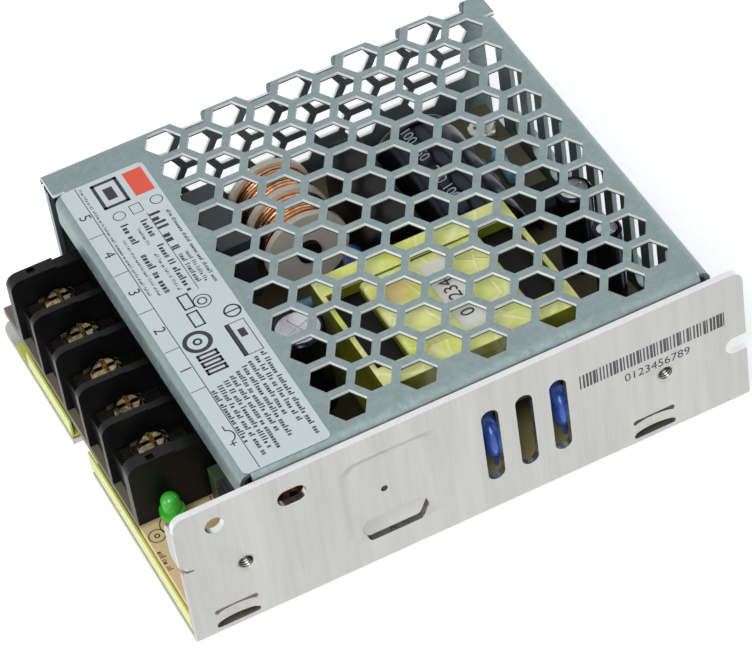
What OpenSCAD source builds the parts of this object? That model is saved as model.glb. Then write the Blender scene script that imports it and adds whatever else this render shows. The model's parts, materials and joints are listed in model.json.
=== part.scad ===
// Enclosed switching power supply: an aluminium L chassis, a folded steel cover with a
// hexagonal mesh, a five-way screw terminal block and the populated board between them.
// X runs along the case with the terminals at -X, the chassis wall is at -Y, Z is up.
// The origin is the bottom centre of the case.

/* [Case] */
// Length of the case
case_l = 99; // [97:0.5:110]
// Width of the case over both side walls
case_w = 82; // [80:0.5:92]
// Height of the case over the label
case_h = 30; // [29:0.5:36]
// Sheet thickness of the aluminium chassis
chassis_t = 1.2; // [1:0.1:1.5]
// Sheet thickness of the steel cover
cover_t = 0.8; // [0.6:0.1:1]
// How far the top of the chassis wall stays below the top of the case
wall_drop = 1.1; // [0.8:0.1:1.6]
// Distance from the front of the case to the front bend of the cover
cover_setback = 12.5; // [12:0.5:14]
// Length of the chassis ledge behind the cover
rear_ledge = 4.5; // [4:0.5:8]
// Outer radius of the bends in the sheets
bend_r = 2; // [1.6:0.1:2.5]
// Height of the cover's front lip
front_lip_h = 5.8; // [4.5:0.1:7]

/* [Mesh] */
// Width of a hexagonal hole across its flats
hex_flats = 5.75; // [5:0.05:6]
// Metal left between two neighbouring holes
hex_web = 1.3; // [1.1:0.1:2]
// Distance from the front bend to the first column
hex_first_x = 20.8; // [20:0.1:22]
// Distance from the far wall to the first row
hex_first_y = 4.7; // [4.2:0.1:6]

/* [Chassis wall] */
// Distance between the two threaded mounting holes
mount_spacing = 74; // [60:1:76]
// Height of the mounting holes above the base
mount_z = 13.5; // [11:0.5:16]
// Bore of the threaded mounting holes
mount_bore = 2.5; // [2.4:0.05:3]
// Depth of the pressed panel
panel_depth = 1.4; // [0.8:0.1:1.8]
// Width of the rear mounting notch
notch_w = 3.4; // [3:0.1:4.5]

/* [Board] */
// Height of the underside of the circuit board
board_z = 5.2; // [4.6:0.1:6]
// Thickness of the circuit board
board_t = 1.6; // [1.2:0.1:2]
// Thickness of the insulating film
film_t = 0.4; // [0.2:0.1:0.6]

/* [Terminals] */
// Distance between two terminals
way_pitch = 9.5; // [9:0.1:10]
// Thickness of a barrier between two terminals
barrier_t = 1.4; // [1.2:0.1:1.8]
// Thickness of the two end walls
end_wall_t = 2.35; // [2:0.05:2.8]
// Height of the terminal block above the board
block_h = 13; // [12.5:0.1:14]
// Depth of the terminal block from front to back
block_d = 15.4; // [15:0.1:17]
// Thread diameter of the terminal screws
screw_d = 3.5; // [3:0.1:4]
// Head diameter of the terminal screws
screw_head_d = 6; // [5.5:0.1:6.6]
// Travel of a terminal screw from tight to open
screw_travel = 3; // [2:0.1:3.2]

/* [Lamp and trimmer] */
// Lens diameter of the indicator lamp
lamp_d = 3.2; // [2.5:0.1:3.4]
// Diameter of the trimmer's knob
knob_d = 5.2; // [4.4:0.1:6]

/* [Hidden] */

eps = 0.01;
fit = 0.15;                 // gap between the cover's near lip and the chassis wall
run_fit = 0.05;             // radial running clearance of the turning parts
label_t = 0.1;              // thickness of the printed label
hole_d = 3.2;               // clearance hole for an M3 screw
m3_tap = 2.5;               // tapping bore of an M3 screw
flat_head_d = 4.2;          // head of the small countersunk screws
flat_tap = 2;               // tapping bore of the same screws
swage_d = 4;                // swaged foot of a standoff
standoff_d = 5.5;
board_head_d = 5.4;         // head of the screws that hold the board

front = -case_l / 2;
rear = case_l / 2;
near = -case_w / 2;
far = case_w / 2;
top = case_h - label_t;     // outer top face of the cover
wall_h = case_h - wall_drop;
wall_in = near + chassis_t; // inner face of the chassis wall
cover_x0 = front + cover_setback;
cover_x1 = rear - rear_ledge;
lip_y = wall_in + fit;      // outer face of the cover's near lip
bend_in = bend_r - cover_t;
foot_l = 6;                 // width of the cover's feet
far_slit = 6.5;             // front and rear bends stop this far before the far wall
lip_y1 = far - far_slit;
lip_depth = 4.2;            // depth of the cover's near lip
ear_z = [wall_h * 0.6, wall_h * 0.9];
ear_l = 4.6;                // depth of the chassis ear at the terminals

hex_pitch = hex_flats + hex_web;
hex_step = hex_pitch * sqrt(3) / 2;
hex_r = hex_flats / sqrt(3);
hex_x = cover_x0 + hex_first_x;
hex_y = far - hex_first_y;
hex_margin = 5;             // plain metal left beside the near lip
hex_end = 0.5;              // and before the rear bend
hex_columns = 1 + floor((cover_x1 - bend_r - hex_end - hex_r - hex_x) / hex_step);
bend_len = PI / 2 * (bend_r - cover_t / 2);

board_x0 = front + 0.6;
board_x1 = cover_x1 - 2;
board_y0 = wall_in + 0.3;
board_y1 = far - 2.5;
board_top = board_z + board_t;
standoffs = [[board_x0 + 5.4, board_y1 - 3.6], [board_x1 - 4, board_y1 - 6.6], [board_x1 - 4, board_y0 + 6]];

WAYS = 5;
block_x0 = board_x0;
block_x1 = block_x0 + block_d;
block_half = WAYS * way_pitch / 2 - barrier_t / 2 + end_wall_t;
block_gap = 0.4;            // between the block and the head of the nearest board screw
block_y = standoffs[0].y - board_head_d / 2 - block_gap - block_half;
block_top = board_top + block_h;
block_base = 6.4;           // height of the block's floor above the board
plate_t = 0.8;
washer_t = 0.8;
screw_x = block_x0 + 6.9;
plate_z = board_top + block_base;
washer_z = plate_z + plate_t;
head_z = washer_z + washer_t;
head_h = 2.3;
shank_l = screw_travel + 3; // length under the head
pin_x = block_x1 - 3.2;
function way_y(i) = block_y + (i - (WAYS - 1) / 2) * way_pitch;
cell_w = way_pitch - barrier_t;

// The parts on the board and the features of the wall are laid out for the default sizes.
// They stretch with the room they have: along the board, across it and under the cover.
kx = (board_x1 - block_x1) / 76.5;
ky = case_w / 82;
kz = (top - cover_t - board_top) / 22.3;
k_disc = min(kx, ky, kz);
function at_x(v) = block_x1 + v * kx;        // v counted from the back of the terminal block
function at_y(v) = near + v * ky;            // v counted from the chassis wall
function wall_x(v) = front + v * case_l / 99;
function wall_z(v) = v * wall_h / 28.9;

// ---------------------------------------------------------------- helpers

// A quarter of a bend: ring of sheet, centred on the origin, in the quadrant sx, sy.
module bend(r, t, sx, sy) {
    scale_x = sx < 0 ? 1 : 0;
    scale_y = sy < 0 ? 1 : 0;
    mirror([scale_x, 0]) mirror([0, scale_y])
        intersection() {
            difference() {
                circle(r);
                if (r > t) circle(r - t);
            }
            square(r + 1);
        }
}

// Extrudes a profile drawn in Y and Z from x0 to x1.
module along_x(x0, x1) {
    translate([x0, 0, 0]) rotate([90, 0, 90]) linear_extrude(x1 - x0) children();
}

// Extrudes a profile drawn in X and Z from y0 to y1.
module along_y(y0, y1) {
    translate([0, y1, 0]) rotate([90, 0, 0]) linear_extrude(y1 - y0) children();
}

// Rectangle between two corners.
module rect(x0, y0, x1, y1) { translate([x0, y0]) square([x1 - x0, y1 - y0]); }

// Box between two corners.
module block(a, b) { translate(a) cube(b - a); }

// Obround slot, l long over its round ends and w wide, turned by a.
module obround(l, w, a = 0) {
    rotate(a) {
        square([l - w, w], center = true);
        for (s = [-1, 1]) translate([s * (l - w) / 2, 0]) circle(w / 2);
    }
}

// Rectangle with rounded corners between two corners.
module soft_rect(x0, y0, x1, y1, r) {
    rect(x0 + r, y0, x1 - r, y1);
    rect(x0, y0 + r, x1, y1 - r);
    for (x = [x0 + r, x1 - r], y = [y0 + r, y1 - r]) translate([x, y]) circle(r);
}

// What is cut off a square corner at the origin to round it; the material is at +x, +y.
module corner_cut(r) {
    difference() {
        translate([-1, -1]) square(r + 1);
        translate([r, r]) circle(r);
    }
}

// Cylinder along X.
module rod_x(x0, x1, r) { translate([x0, 0, 0]) rotate([0, 90, 0]) cylinder(r = r, h = x1 - x0); }

// Cylinder along Y.
module rod_y(y0, y1, r) { translate([0, y0, 0]) rotate([-90, 0, 0]) cylinder(r = r, h = y1 - y0); }

$fn = 48;

// ---------------------------------------------------------------- chassis

lance_l = 7.5;              // length of the bridges that carry the board
lance_d = 0.55;             // how far they are pushed in
lance_slit = 1.05;          // height of the slits above and below them
lance_z = [board_z - 2, board_z];
lances = [wall_x(7.4), wall_x(81.6)];
slots_x = [for (i = [0:2]) wall_x(53.5 + i * 6)];
slot_z = [wall_z(7.4), wall_z(23)];
mounts_x = [for (s = [-1, 1]) -2.1 + s * mount_spacing / 2];
collar_r = mount_bore / 2 + 1.1;            // collars behind the threaded holes
panel = [wall_x(26.5), wall_z(5.8), wall_x(46), wall_z(25)];    // pressed panel: x0, z0, x1, z1
panel_slope = 3.6;          // width of its sloping border
floor_cut = [wall_x(30.5), at_y(4.4), wall_x(46.5), at_y(12)];  // opening in the floor under it
plate_notch = [block_y - 5.5, block_y + 3];

// Points of the pressed form: ring k of the smooth slope, moved back by off.
function press_ring(k, n, off) = let (
    u = k / n,
    d = panel_depth * (3 * u * u - 2 * u * u * u),
    inset = panel_slope * u,
    x0 = panel[0] + inset, x1 = panel[2] - inset,
    z0 = panel[1] + inset * 0.8, z1 = panel[3] - inset * 0.8,
    r = 3.2 - 0.9 * u)
    [for (q = [0:3], a = [0:4]) let (
        t = q * 90 + a * 22.5,
        cx = (q == 0 || q == 3) ? x1 - r : x0 + r,
        cz = (q == 0 || q == 1) ? z1 - r : z0 + r)
        [cx + r * cos(t), near + d + off, cz + r * sin(t)]];

// The smooth pressed form as a closed solid that ends at the flat y = back.
module pressed(off, back) {
    n = 6;
    m = 20;
    rings = [for (k = [0:n]) press_ring(k, n, off)];
    base = [for (p = rings[0]) [p.x, back, p.z]];
    pts = concat(base, [for (r = rings) each r]);
    sides = [for (k = [0:n], i = [0:m - 1])
        [k * m + i, k * m + (i + 1) % m, (k + 1) * m + (i + 1) % m, (k + 1) * m + i]];
    polyhedron(pts, concat([[for (i = [m - 1:-1:0]) i]], sides, [[for (i = [0:m - 1]) (n + 1) * m + i]]));
}

module chassis_section() {
    rect(near, bend_r, wall_in, wall_h);
    translate([near + bend_r, bend_r]) bend(bend_r, chassis_t, -1, -1);
    rect(near + bend_r, 0, far, chassis_t);
}

module chassis() {
    color("gainsboro") difference() {
        union() {
            difference() {
                along_x(front, rear) chassis_section();
                // front edge of the wall where the ear is bent in
                block([front - 1, near - 1, ear_z[0] - ear_slit], [front + bend_r, wall_in + eps, ear_z[1]]);
            }
            ear();
            // bridges that carry the edge of the board
            for (x = lances) translate([x, 0, lance_z[0]]) linear_extrude(lance_z[1] - lance_z[0])
                lance_section(0, chassis_t);
            // collars of the threaded holes
            for (x = mounts_x) translate([x, 0, mount_z])
                rod_y(wall_in - eps, wall_in + 1.6, collar_r);
            pressed(chassis_t, wall_in - 0.5);
        }
        pressed(0, near - 1);
        wall_cuts();
        floor_cuts();
    }
}

ear_slit = 0.4;             // relief under the ear

// Ear beside the terminals, bent in from the wall, with its free corners rounded.
module ear() {
    y1 = near + ear_l;
    intersection() {
        translate([0, 0, ear_z[0]]) linear_extrude(ear_z[1] - ear_z[0]) {
            translate([front + bend_r, near + bend_r]) bend(bend_r, chassis_t, -1, -1);
            rect(front + bend_r, near, front + bend_r + eps, wall_in);
            rect(front, near + bend_r, front + chassis_t, y1);
        }
        along_x(front - 1, front + bend_r + 1) difference() {
            rect(near - 1, ear_z[0] - 1, y1, ear_z[1] + 1);
            translate([y1, ear_z[1]]) rotate(180) corner_cut(3);
            translate([y1, ear_z[0]]) rotate(90) corner_cut(1.2);
        }
    }
}

// Plan of a bridge: a shallow bow between its inner and outer faces, a and b behind the wall.
module lance_section(a, b) {
    bow = [for (t = [-1:0.125:1]) [t * lance_l / 2, near + lance_d * (1 - t * t)]];
    polygon(concat([for (p = bow) [p.x, p.y + b]], [for (i = [len(bow) - 1:-1:0]) [bow[i].x, bow[i].y + a]]));
}

// Everything that is cut through the side wall.
module wall_cuts() {
    y0 = near - 1;
    y1 = wall_in + 2.5;
    for (x = mounts_x) translate([x, 0, mount_z]) {
        rod_y(y0, y1, mount_bore / 2);
        translate([0, near - eps, 0]) rotate([-90, 0, 0])
            cylinder(r1 = mount_bore / 2 + 0.65, r2 = mount_bore / 2, h = 0.45);
    }
    along_y(y0, y1) {
        translate([wall_x(6.6), wall_z(24.7)]) circle(d = hole_d);
        translate([wall_x(19.6), wall_z(23.7)]) obround(5, hole_d);
        for (x = slots_x) translate([x, (slot_z[0] + slot_z[1]) / 2]) obround(slot_z[1] - slot_z[0], 3, 90);
        translate([rear, mount_z - 0.2]) obround(2 * (rear_ledge - 0.7), notch_w);
        translate([wall_x(35), wall_z(14.8)]) circle(d = 1.2);
        // window in the foot of the pressed panel, left open where the metal is drawn in
        offset(0.8) offset(delta = -0.8) polygon([for (p = [[31, 6.1], [30, 8], [31, 9.3],
            [40.7, 9.3], [42.2, 8], [40, 6.1]]) [wall_x(p.x), wall_z(p.y)]]);
        // corners of the wall
        translate([rear, wall_h]) rotate(180) corner_cut(2);
        translate([front, wall_h]) rotate(-90) corner_cut(1.8);
    }
    // slits above and below each bridge, and the hollow behind it
    for (x = lances) {
        along_y(y0, wall_in + eps) for (z = [lance_z[0] - lance_slit / 2, lance_z[1] + lance_slit / 2])
            translate([x, z]) obround(lance_l, lance_slit);
        translate([x, 0, lance_z[0]]) linear_extrude(lance_z[1] - lance_z[0]) lance_section(-3, 0);
    }
}

// Everything that is cut through the floor.
module floor_cuts() {
    translate([0, 0, -1]) linear_extrude(chassis_t + 2) {
        soft_rect(front - 6, plate_notch[0], front + 4.2, plate_notch[1], 1.5);
        soft_rect(floor_cut[0], floor_cut[1], floor_cut[2], floor_cut[3], 1.2);
        translate([front, far]) mirror([0, 1]) corner_cut(2.5);
        translate([rear, far]) rotate(180) corner_cut(2.5);
        for (p = cover_screw_at) translate(p) circle(d = flat_tap + 0.6);
        for (p = standoffs) translate(p) circle(d = swage_d + 0.06);
    }
    for (p = cover_screw_at) translate([p.x, p.y, -eps])
        cylinder(d1 = flat_head_d + 0.1, d2 = flat_tap + 0.6, h = chassis_t);
}

// ---------------------------------------------------------------- cover

foot_screw_x = 14;          // from the ends of the cover to the screws in its far foot
foot_screw_y = 16;          // from the walls to the screws in its rear foot
cover_screw_at = [
    for (x = [cover_x0 + foot_screw_x, cover_x1 - foot_screw_x]) [x, far - foot_l / 2 - 0.6],
    for (y = [near + foot_screw_y, far - foot_screw_y]) [rear - flat_head_d / 2 - 0.1, y]
];
rear_foot = rear_ledge - 0.3;
rear_slots = 11;
end_y0 = near + bend_r + 0.2;    // the front and rear bends start clear of the chassis's own bend

flange_z = [board_top + 0.5, top - bend_r - 0.1];  // the narrow flange at the front of the far wall

// Folded section of the cover: near lip, top, far wall and its foot.
module cover_section() {
    rect(lip_y, top - lip_depth, lip_y + cover_t, top - bend_r);
    translate([lip_y + bend_r, top - bend_r]) bend(bend_r, cover_t, -1, 1);
    rect(lip_y + bend_r, top - cover_t, far - bend_r, top);
    translate([far - bend_r, top - bend_r]) bend(bend_r, cover_t, 1, 1);
    rect(far - cover_t, chassis_t + bend_r, far, top - bend_r);
    translate([far - bend_r, chassis_t + bend_r]) bend(bend_r, cover_t, 1, -1);
    rect(far - foot_l, chassis_t, far - bend_r, chassis_t + cover_t);
}

// Front lip: bend and the strip that hangs from it. It runs eps into the top sheet.
module front_lip_section() {
    translate([cover_x0 + bend_r, top - bend_r]) bend(bend_r, cover_t, -1, 1);
    rect(cover_x0 + bend_r, top - cover_t, cover_x0 + bend_r + eps, top);
    rect(cover_x0, top - front_lip_h, cover_x0 + cover_t, top - bend_r);
}

// Rear wall: bend, wall and the foot that stands on the ledge.
module rear_wall_section() {
    translate([cover_x1 - bend_r, top - bend_r]) bend(bend_r, cover_t, 1, 1);
    rect(cover_x1 - bend_r - eps, top - cover_t, cover_x1 - bend_r, top);
    rect(cover_x1 - cover_t, chassis_t + cover_t + bend_in, cover_x1, top - bend_r);
    translate([cover_x1 + bend_in, chassis_t + cover_t + bend_in]) bend(bend_r, cover_t, -1, -1);
    rect(cover_x1 + bend_in, chassis_t, cover_x1 + rear_foot, chassis_t + cover_t);
}

module hexagon() { circle(r = hex_r, $fn = 6); }

// Rows of the mesh: y of row k in a column; odd columns are half a pitch lower.
function row_y(k) = hex_y - k * hex_pitch;
last_row = floor((hex_y - (lip_y + hex_margin)) / hex_pitch);
// Height on the far wall of a row that the pattern carries round the bend.
function wall_row_z(k) = top - bend_r - (row_y(k) - (far - bend_r) - bend_len);
last_wall_row = -floor((wall_row_z(0) - chassis_t - bend_r - hex_flats) / hex_pitch);

module mesh_cuts() {
    for (c = [0:hex_columns - 1]) {
        x = hex_x + c * hex_step;
        odd = (c % 2) / 2;
        // flat top
        translate([0, 0, top - cover_t - 1]) linear_extrude(cover_t + 2)
            for (k = [odd:last_row]) if (row_y(k) > lip_y + hex_margin) translate([x, row_y(k)]) hexagon();
        // the odd columns have one hole that runs over the bend
        if (odd > 0) translate([x, row_y(-odd), top - bend_r - 1]) linear_extrude(bend_r + 2) hexagon();
        // far wall
        along_y(far - bend_r, far + 1)
            for (k = [-1 - odd:-1:last_wall_row]) if (wall_row_z(k) - hex_r > chassis_t + bend_r)
                translate([x, wall_row_z(k)]) hexagon();
    }
}

module cover() {
    color("lightslategray") difference() {
        union() {
            difference() {
                along_x(cover_x0, cover_x1) cover_section();
                // the front and rear bends replace the plain edges of the top
                block([cover_x0 - 1, near - 1, top - front_lip_h - 5], [cover_x0 + bend_r, lip_y1, top + 1]);
                block([cover_x1 - bend_r, near - 1, top - lip_depth - 1], [cover_x1 + 1, lip_y1, top + 1]);
                // front edge of the far wall, where its narrow flange is bent in
                block([cover_x0 - 1, far - bend_r, flange_z[0] - 0.8],
                    [cover_x0 + bend_r, far + 1, flange_z[1] + 0.1]);
            }
            along_y(end_y0, lip_y1 - 0.5) front_lip_section();
            along_y(end_y0, lip_y1 - 0.5) rear_wall_section();
            translate([0, 0, flange_z[0]]) linear_extrude(flange_z[1] - flange_z[0]) {
                translate([cover_x0 + bend_r, far - bend_r]) bend(bend_r, cover_t, -1, 1);
                rect(cover_x0 + bend_r, far - cover_t, cover_x0 + bend_r + eps, far);
                rect(cover_x0, far - 3.4, cover_x0 + cover_t, far - bend_r);
            }
        }
        mesh_cuts();
        // rear air slots
        slot_pitch = (lip_y1 - lip_y - 8) / rear_slots;
        for (i = [0:rear_slots - 1]) along_x(cover_x1 - cover_t - 1, cover_x1 + 1)
            translate([lip_y + 4 + (i + 0.5) * slot_pitch, (top + chassis_t) / 2 - 0.5])
                obround(top - chassis_t - 11, 3, 90);
        for (p = cover_screw_at) translate([p.x, p.y, chassis_t - 1])
            cylinder(d = flat_tap, h = cover_t + 2);
    }
}

module rating_label() {
    color("lightblue") translate([0, 0, top]) linear_extrude(label_t)
        soft_rect(cover_x0 + 0.8 + bend_r * 0.1, near + 2.2, hex_x - hex_r - 1.6, far - 7, 1);
}

// Countersunk screws that hold the cover from below.
module cover_screws() {
    color("silver") for (p = cover_screw_at) translate([p.x, p.y, 0]) difference() {
        union() {
            cylinder(d1 = flat_head_d, d2 = flat_tap - 0.1, h = chassis_t - 0.1);
            cylinder(d = flat_tap - 0.1, h = chassis_t + cover_t + 1.4);
        }
        cross_recess(0, 2, 0.5, 0.8);
    }
}

// Cross recess cut into a head whose face is at z; dir is the way into the metal.
module cross_recess(z, l, w, depth, dir = 1) {
    for (a = [0, 90]) rotate(a) translate([0, 0, z + dir * (depth / 2 - 0.5)])
        cube([l, w, depth + 1], center = true);
}

// ---------------------------------------------------------------- board

module insulating_film() {
    x0 = front + 0.15;
    x1 = cover_x1 - cover_t - 0.4;
    z0 = chassis_t;
    flap_top = board_z - 0.1;
    color("greenyellow") difference() {
        union() {
            block([x0, near + bend_r + 0.1, z0], [x1, far - foot_l - 0.5, z0 + film_t]);
            // flap folded up to the front edge of the board
            block([x0, near + bend_r + 0.1, z0], [x0 + film_t, block_y + 22, flap_top]);
        }
        translate([0, 0, z0 - 1]) linear_extrude(flap_top) {
            soft_rect(front - 6, plate_notch[0] + 1, front + 5, plate_notch[1] + 0.4, 1.5);
            soft_rect(floor_cut[0] - 0.8, floor_cut[1] - 6, floor_cut[2] + 0.8, floor_cut[3] + 0.8, 1.2);
        }
        for (p = standoffs) translate([p.x, p.y, z0 - 1]) cylinder(d = standoff_d + 0.4, h = film_t + 2);
        for (x = lances) block([x - lance_l / 2 - 1, near, z0 - 1],
            [x + lance_l / 2 + 1, wall_in + lance_d + 0.5, z0 + 2]);
    }
}

module circuit_board() {
    color("burlywood") difference() {
        translate([0, 0, board_z]) linear_extrude(board_t) difference() {
            rect(board_x0, board_y0, board_x1, board_y1);
            soft_rect(panel[0] - 0.5, board_y0 - 6, panel[2] + 0.5, board_y0 + 4.2, 1);
            // isolation slot under the optocoupler
            translate([opto_at.x, opto_at.y]) square([3, 9], center = true);
        }
        for (p = standoffs) translate([p.x, p.y, board_z - 1]) cylinder(d = hole_d, h = board_t + 2);
        for (i = [0:WAYS - 1]) block([pin_x - 0.2, way_y(i) - 1.4, board_z - 1],
            [pin_x + plate_t + 0.2, way_y(i) + 1.4, board_top + 1]);
    }
}

module board_standoffs() {
    color("silver") for (p = standoffs) translate([p.x, p.y, 0]) difference() {
        union() {
            translate([0, 0, chassis_t]) cylinder(d = standoff_d, h = board_z - chassis_t);
            translate([0, 0, 0.1]) cylinder(d = swage_d, h = chassis_t);
        }
        translate([0, 0, -1]) cylinder(d = m3_tap, h = board_z + 2);
    }
}

module board_screws() {
    color("silver") for (p = standoffs) translate([p.x, p.y, board_top]) difference() {
        union() {
            pan_head(board_head_d, 1.9);
            translate([0, 0, -4.6]) cylinder(d = m3_tap - 0.1, h = 4.7);
        }
        cross_recess(1.9, 3, 0.7, 1.1, -1);
    }
}

// Low pan head with a rounded rim, standing on z = 0.
module pan_head(d, h) {
    r = h * 0.45;
    rotate_extrude() {
        square([d / 2 - r, h]);
        square([d / 2, h - r]);
        translate([d / 2 - r, h - r]) intersection() {
            circle(r);
            square(r);
        }
    }
}

// ---------------------------------------------------------------- terminals

// Outline of a barrier from the side: rounded top front corner, step at the back.
module barrier_section(step) {
    r = 2;
    x1 = block_x0 + block_d;
    difference() {
        rect(block_x0, board_top, x1, block_top);
        translate([block_x0, block_top]) rotate(-90) corner_cut(r);
        rect(block_x0 + 8.5, block_top - step, x1 + 1, block_top + 1);
    }
}

module terminal_block() {
    color([0.1, 0.1, 0.11]) difference() {
        union() {
            block([block_x0 + 1.3, block_y - block_half + 0.5, board_top],
                [block_x0 + block_d, block_y + block_half - 0.5, plate_z]);
            // back wall of the cells
            block([pin_x + 1.6, block_y - block_half + 0.5, board_top],
                [block_x0 + block_d, block_y + block_half - 0.5, block_top - 0.6]);
            for (i = [1:WAYS - 1]) along_y(way_y(i) - way_pitch / 2 - barrier_t / 2,
                way_y(i) - way_pitch / 2 + barrier_t / 2) barrier_section(0.25);
            for (s = [-1, 1]) {
                y = block_y + s * (block_half - end_wall_t / 2);
                along_y(y - end_wall_t / 2, y + end_wall_t / 2) barrier_section(0.5);
            }
        }
        for (i = [0:WAYS - 1]) translate([screw_x, way_y(i), plate_z - 5])
            cylinder(r = screw_d / 2 + 0.3, h = 6);
        // slots for the plates' pins
        for (i = [0:WAYS - 1]) block([pin_x - 0.05, way_y(i) - 1.25, board_top - 1],
            [pin_x + plate_t + 0.05, way_y(i) + 1.25, plate_z + 1]);
        // sockets for a snap-on cover
        for (s = [-1, 1]) translate([block_x0 + 4.4, block_y + s * (block_half - 0.9), block_top])
            cube([1.3, 1.1, 1.6], center = true);
    }
}

module terminal_plates() {
    color("silver") for (i = [0:WAYS - 1]) difference() {
        union() {
            block([block_x0 + 2.2, way_y(i) - cell_w / 2 + 0.3, plate_z],
                [pin_x + plate_t, way_y(i) + cell_w / 2 - 0.3, plate_z + plate_t]);
            block([pin_x, way_y(i) - 1.2, board_z - 1.4], [pin_x + plate_t, way_y(i) + 1.2, plate_z + eps]);
        }
        translate([screw_x, way_y(i), plate_z - 1]) cylinder(r = screw_d / 2 + run_fit, h = plate_t + 2);
    }
}

// Captive square washer with two raised edges that hold the wire.
module terminal_washer(i) {
    w = 6.6;
    color("silver") translate([screw_x, way_y(i), washer_z]) difference() {
        union() {
            translate([0, 0, washer_t / 2]) cube([w, w, washer_t], center = true);
            for (s = [-1, 1]) translate([0, s * (w / 2 - 0.25), washer_t]) cube([w, 0.5, 0.8], center = true);
        }
        translate([0, 0, -1]) cylinder(r = screw_d / 2 + run_fit, h = washer_t + 2);
        for (sx = [-1, 1], sy = [-1, 1]) translate([sx * w / 2, sy * w / 2, 0]) rotate(45)
            cube([1, 1, 4], center = true);
    }
}

module terminal_screw(i) {
    color([0.8, 0.76, 0.62]) translate([screw_x, way_y(i), head_z]) difference() {
        union() {
            pan_head(screw_head_d - 0.5, head_h);
            translate([0, 0, -shank_l]) cylinder(r = screw_d / 2, h = shank_l + eps);
        }
        cross_recess(head_h, 3.6, 0.8, 1.3, -1);
        translate([0, 0, head_h]) cube([screw_head_d + 1, 0.8, 1.2], center = true);
    }
}

// ---------------------------------------------------------------- lamp and trimmer

lamp_at = [block_x0 + 5.2, block_y - block_half - 2.4];
lamp_z = board_top + 0.6;
lamp_foot = 1.8;            // height of the lens under its flange
lamp_h = 6.2;               // height of the whole lens

// Lens with a round top, a flange and a narrower foot.
module lamp_lens() {
    r = lamp_d / 2;
    color("limegreen") translate([lamp_at.x, lamp_at.y, lamp_z]) rotate_extrude() {
        square([r - 0.2, lamp_foot + 0.5]);
        translate([0, lamp_foot]) square([r + 0.5, 1.1]);
        translate([0, lamp_foot]) square([r, lamp_h - r - lamp_foot]);
        translate([0, lamp_h - r]) intersection() {
            circle(r);
            square(r);
        }
    }
}

module lamp_leads() {
    color("silver") for (s = [-1, 1])
        block([lamp_at.x + s * 1.27 - 0.25, lamp_at.y - 0.25, board_top],
            [lamp_at.x + s * 1.27 + 0.25, lamp_at.y + 0.25, lamp_z]);
}

trimmer_at = [cover_x0 + 3.4, block_y - block_half - 4, board_top + 4.4];
trimmer_w = 5.4;            // width of the body
trimmer_t = 3.2;            // thickness of the body along the shaft
trimmer_wheel_t = 2.6;      // thickness of the knob

module trimmer_body() {
    color("darkolivegreen") difference() {
        block([trimmer_at.x - trimmer_w / 2, trimmer_at.y, board_top],
            [trimmer_at.x + trimmer_w / 2, trimmer_at.y + trimmer_t, trimmer_at.z + trimmer_w / 2]);
        translate([trimmer_at.x, 0, trimmer_at.z]) rod_y(trimmer_at.y - 1, trimmer_at.y + 2, 1.2 + run_fit);
    }
}

// Ribbed wheel on the trimmer's shaft, turned at its rim.
module trimmer_knob() {
    ribs = 18;
    y0 = trimmer_at.y - 0.1 - trimmer_wheel_t;
    y1 = trimmer_at.y - 0.1;
    color("darkslategray") translate([trimmer_at.x, 0, trimmer_at.z]) difference() {
        union() {
            rod_y(y0, y1, knob_d / 2 - 0.2);
            rod_y(y0, trimmer_at.y + 1.8, 1.2);
            for (i = [0:ribs - 1]) rotate([0, i * 360 / ribs, 0]) translate([-0.2, y0, knob_d / 2 - 0.5])
                cube([0.4, y1 - y0, 0.5]);
        }
        translate([0, y0, 0]) cube([3.4, 1.4, 0.7], center = true);
    }
}

// ---------------------------------------------------------------- transformer

transformer_l = 35 * kx;
transformer_w = 28 * ky;
transformer_h = 19.2 * kz;
trafo_x0 = at_x(25);
trafo_y1 = at_y(38.4);
trafo_x1 = trafo_x0 + transformer_l;
trafo_y0 = trafo_y1 - transformer_w;
trafo_top = board_top + transformer_h;
trafo_mid = [(trafo_x0 + trafo_x1) / 2, (trafo_y0 + trafo_y1) / 2];
tape_side = 1;              // thickness of the tape band along the two short sides
tape_fold = 0.8;            // and along the two long sides
yoke_w = 4.6;               // width of the core's yokes, with the tape
core_leg = 5.7;             // width of the core's outer legs
core_mid = 8;               // width of its middle leg
rail_h = 3.4;               // height of the bobbin's pin rails
core_z = [board_top + rail_h + 1.6, trafo_top - 2.4];
winding_z = [board_top + rail_h, trafo_top - 0.4];

// Rectangle set in from the transformer's outline by dx and dy.
module trafo_rect(dx, dy) { rect(trafo_x0 + dx, trafo_y0 + dy, trafo_x1 - dx, trafo_y1 - dy); }

// Tape band round the core; it is folded over the yokes.
module transformer_tape() {
    color("greenyellow") {
        translate([0, 0, winding_z[0]]) linear_extrude(core_z[1] - winding_z[0]) difference() {
            trafo_rect(0, 0);
            trafo_rect(tape_side, tape_fold);
        }
        translate([0, 0, core_z[1]]) linear_extrude(trafo_top - core_z[1]) difference() {
            trafo_rect(0, 0);
            trafo_rect(tape_side, yoke_w);
        }
    }
}

// Ferrite core: two outer legs, two yokes and the middle leg inside the winding.
module transformer_core() {
    color([0.12, 0.12, 0.13]) translate([0, 0, core_z[0]]) linear_extrude(core_z[1] - core_z[0]) {
        difference() {
            trafo_rect(tape_side, tape_fold);
            trafo_rect(tape_side + core_leg, yoke_w);
        }
        rect(trafo_mid.x - core_mid / 2, trafo_y0 + tape_fold,
            trafo_mid.x + core_mid / 2, trafo_y1 - tape_fold);
    }
}

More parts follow.
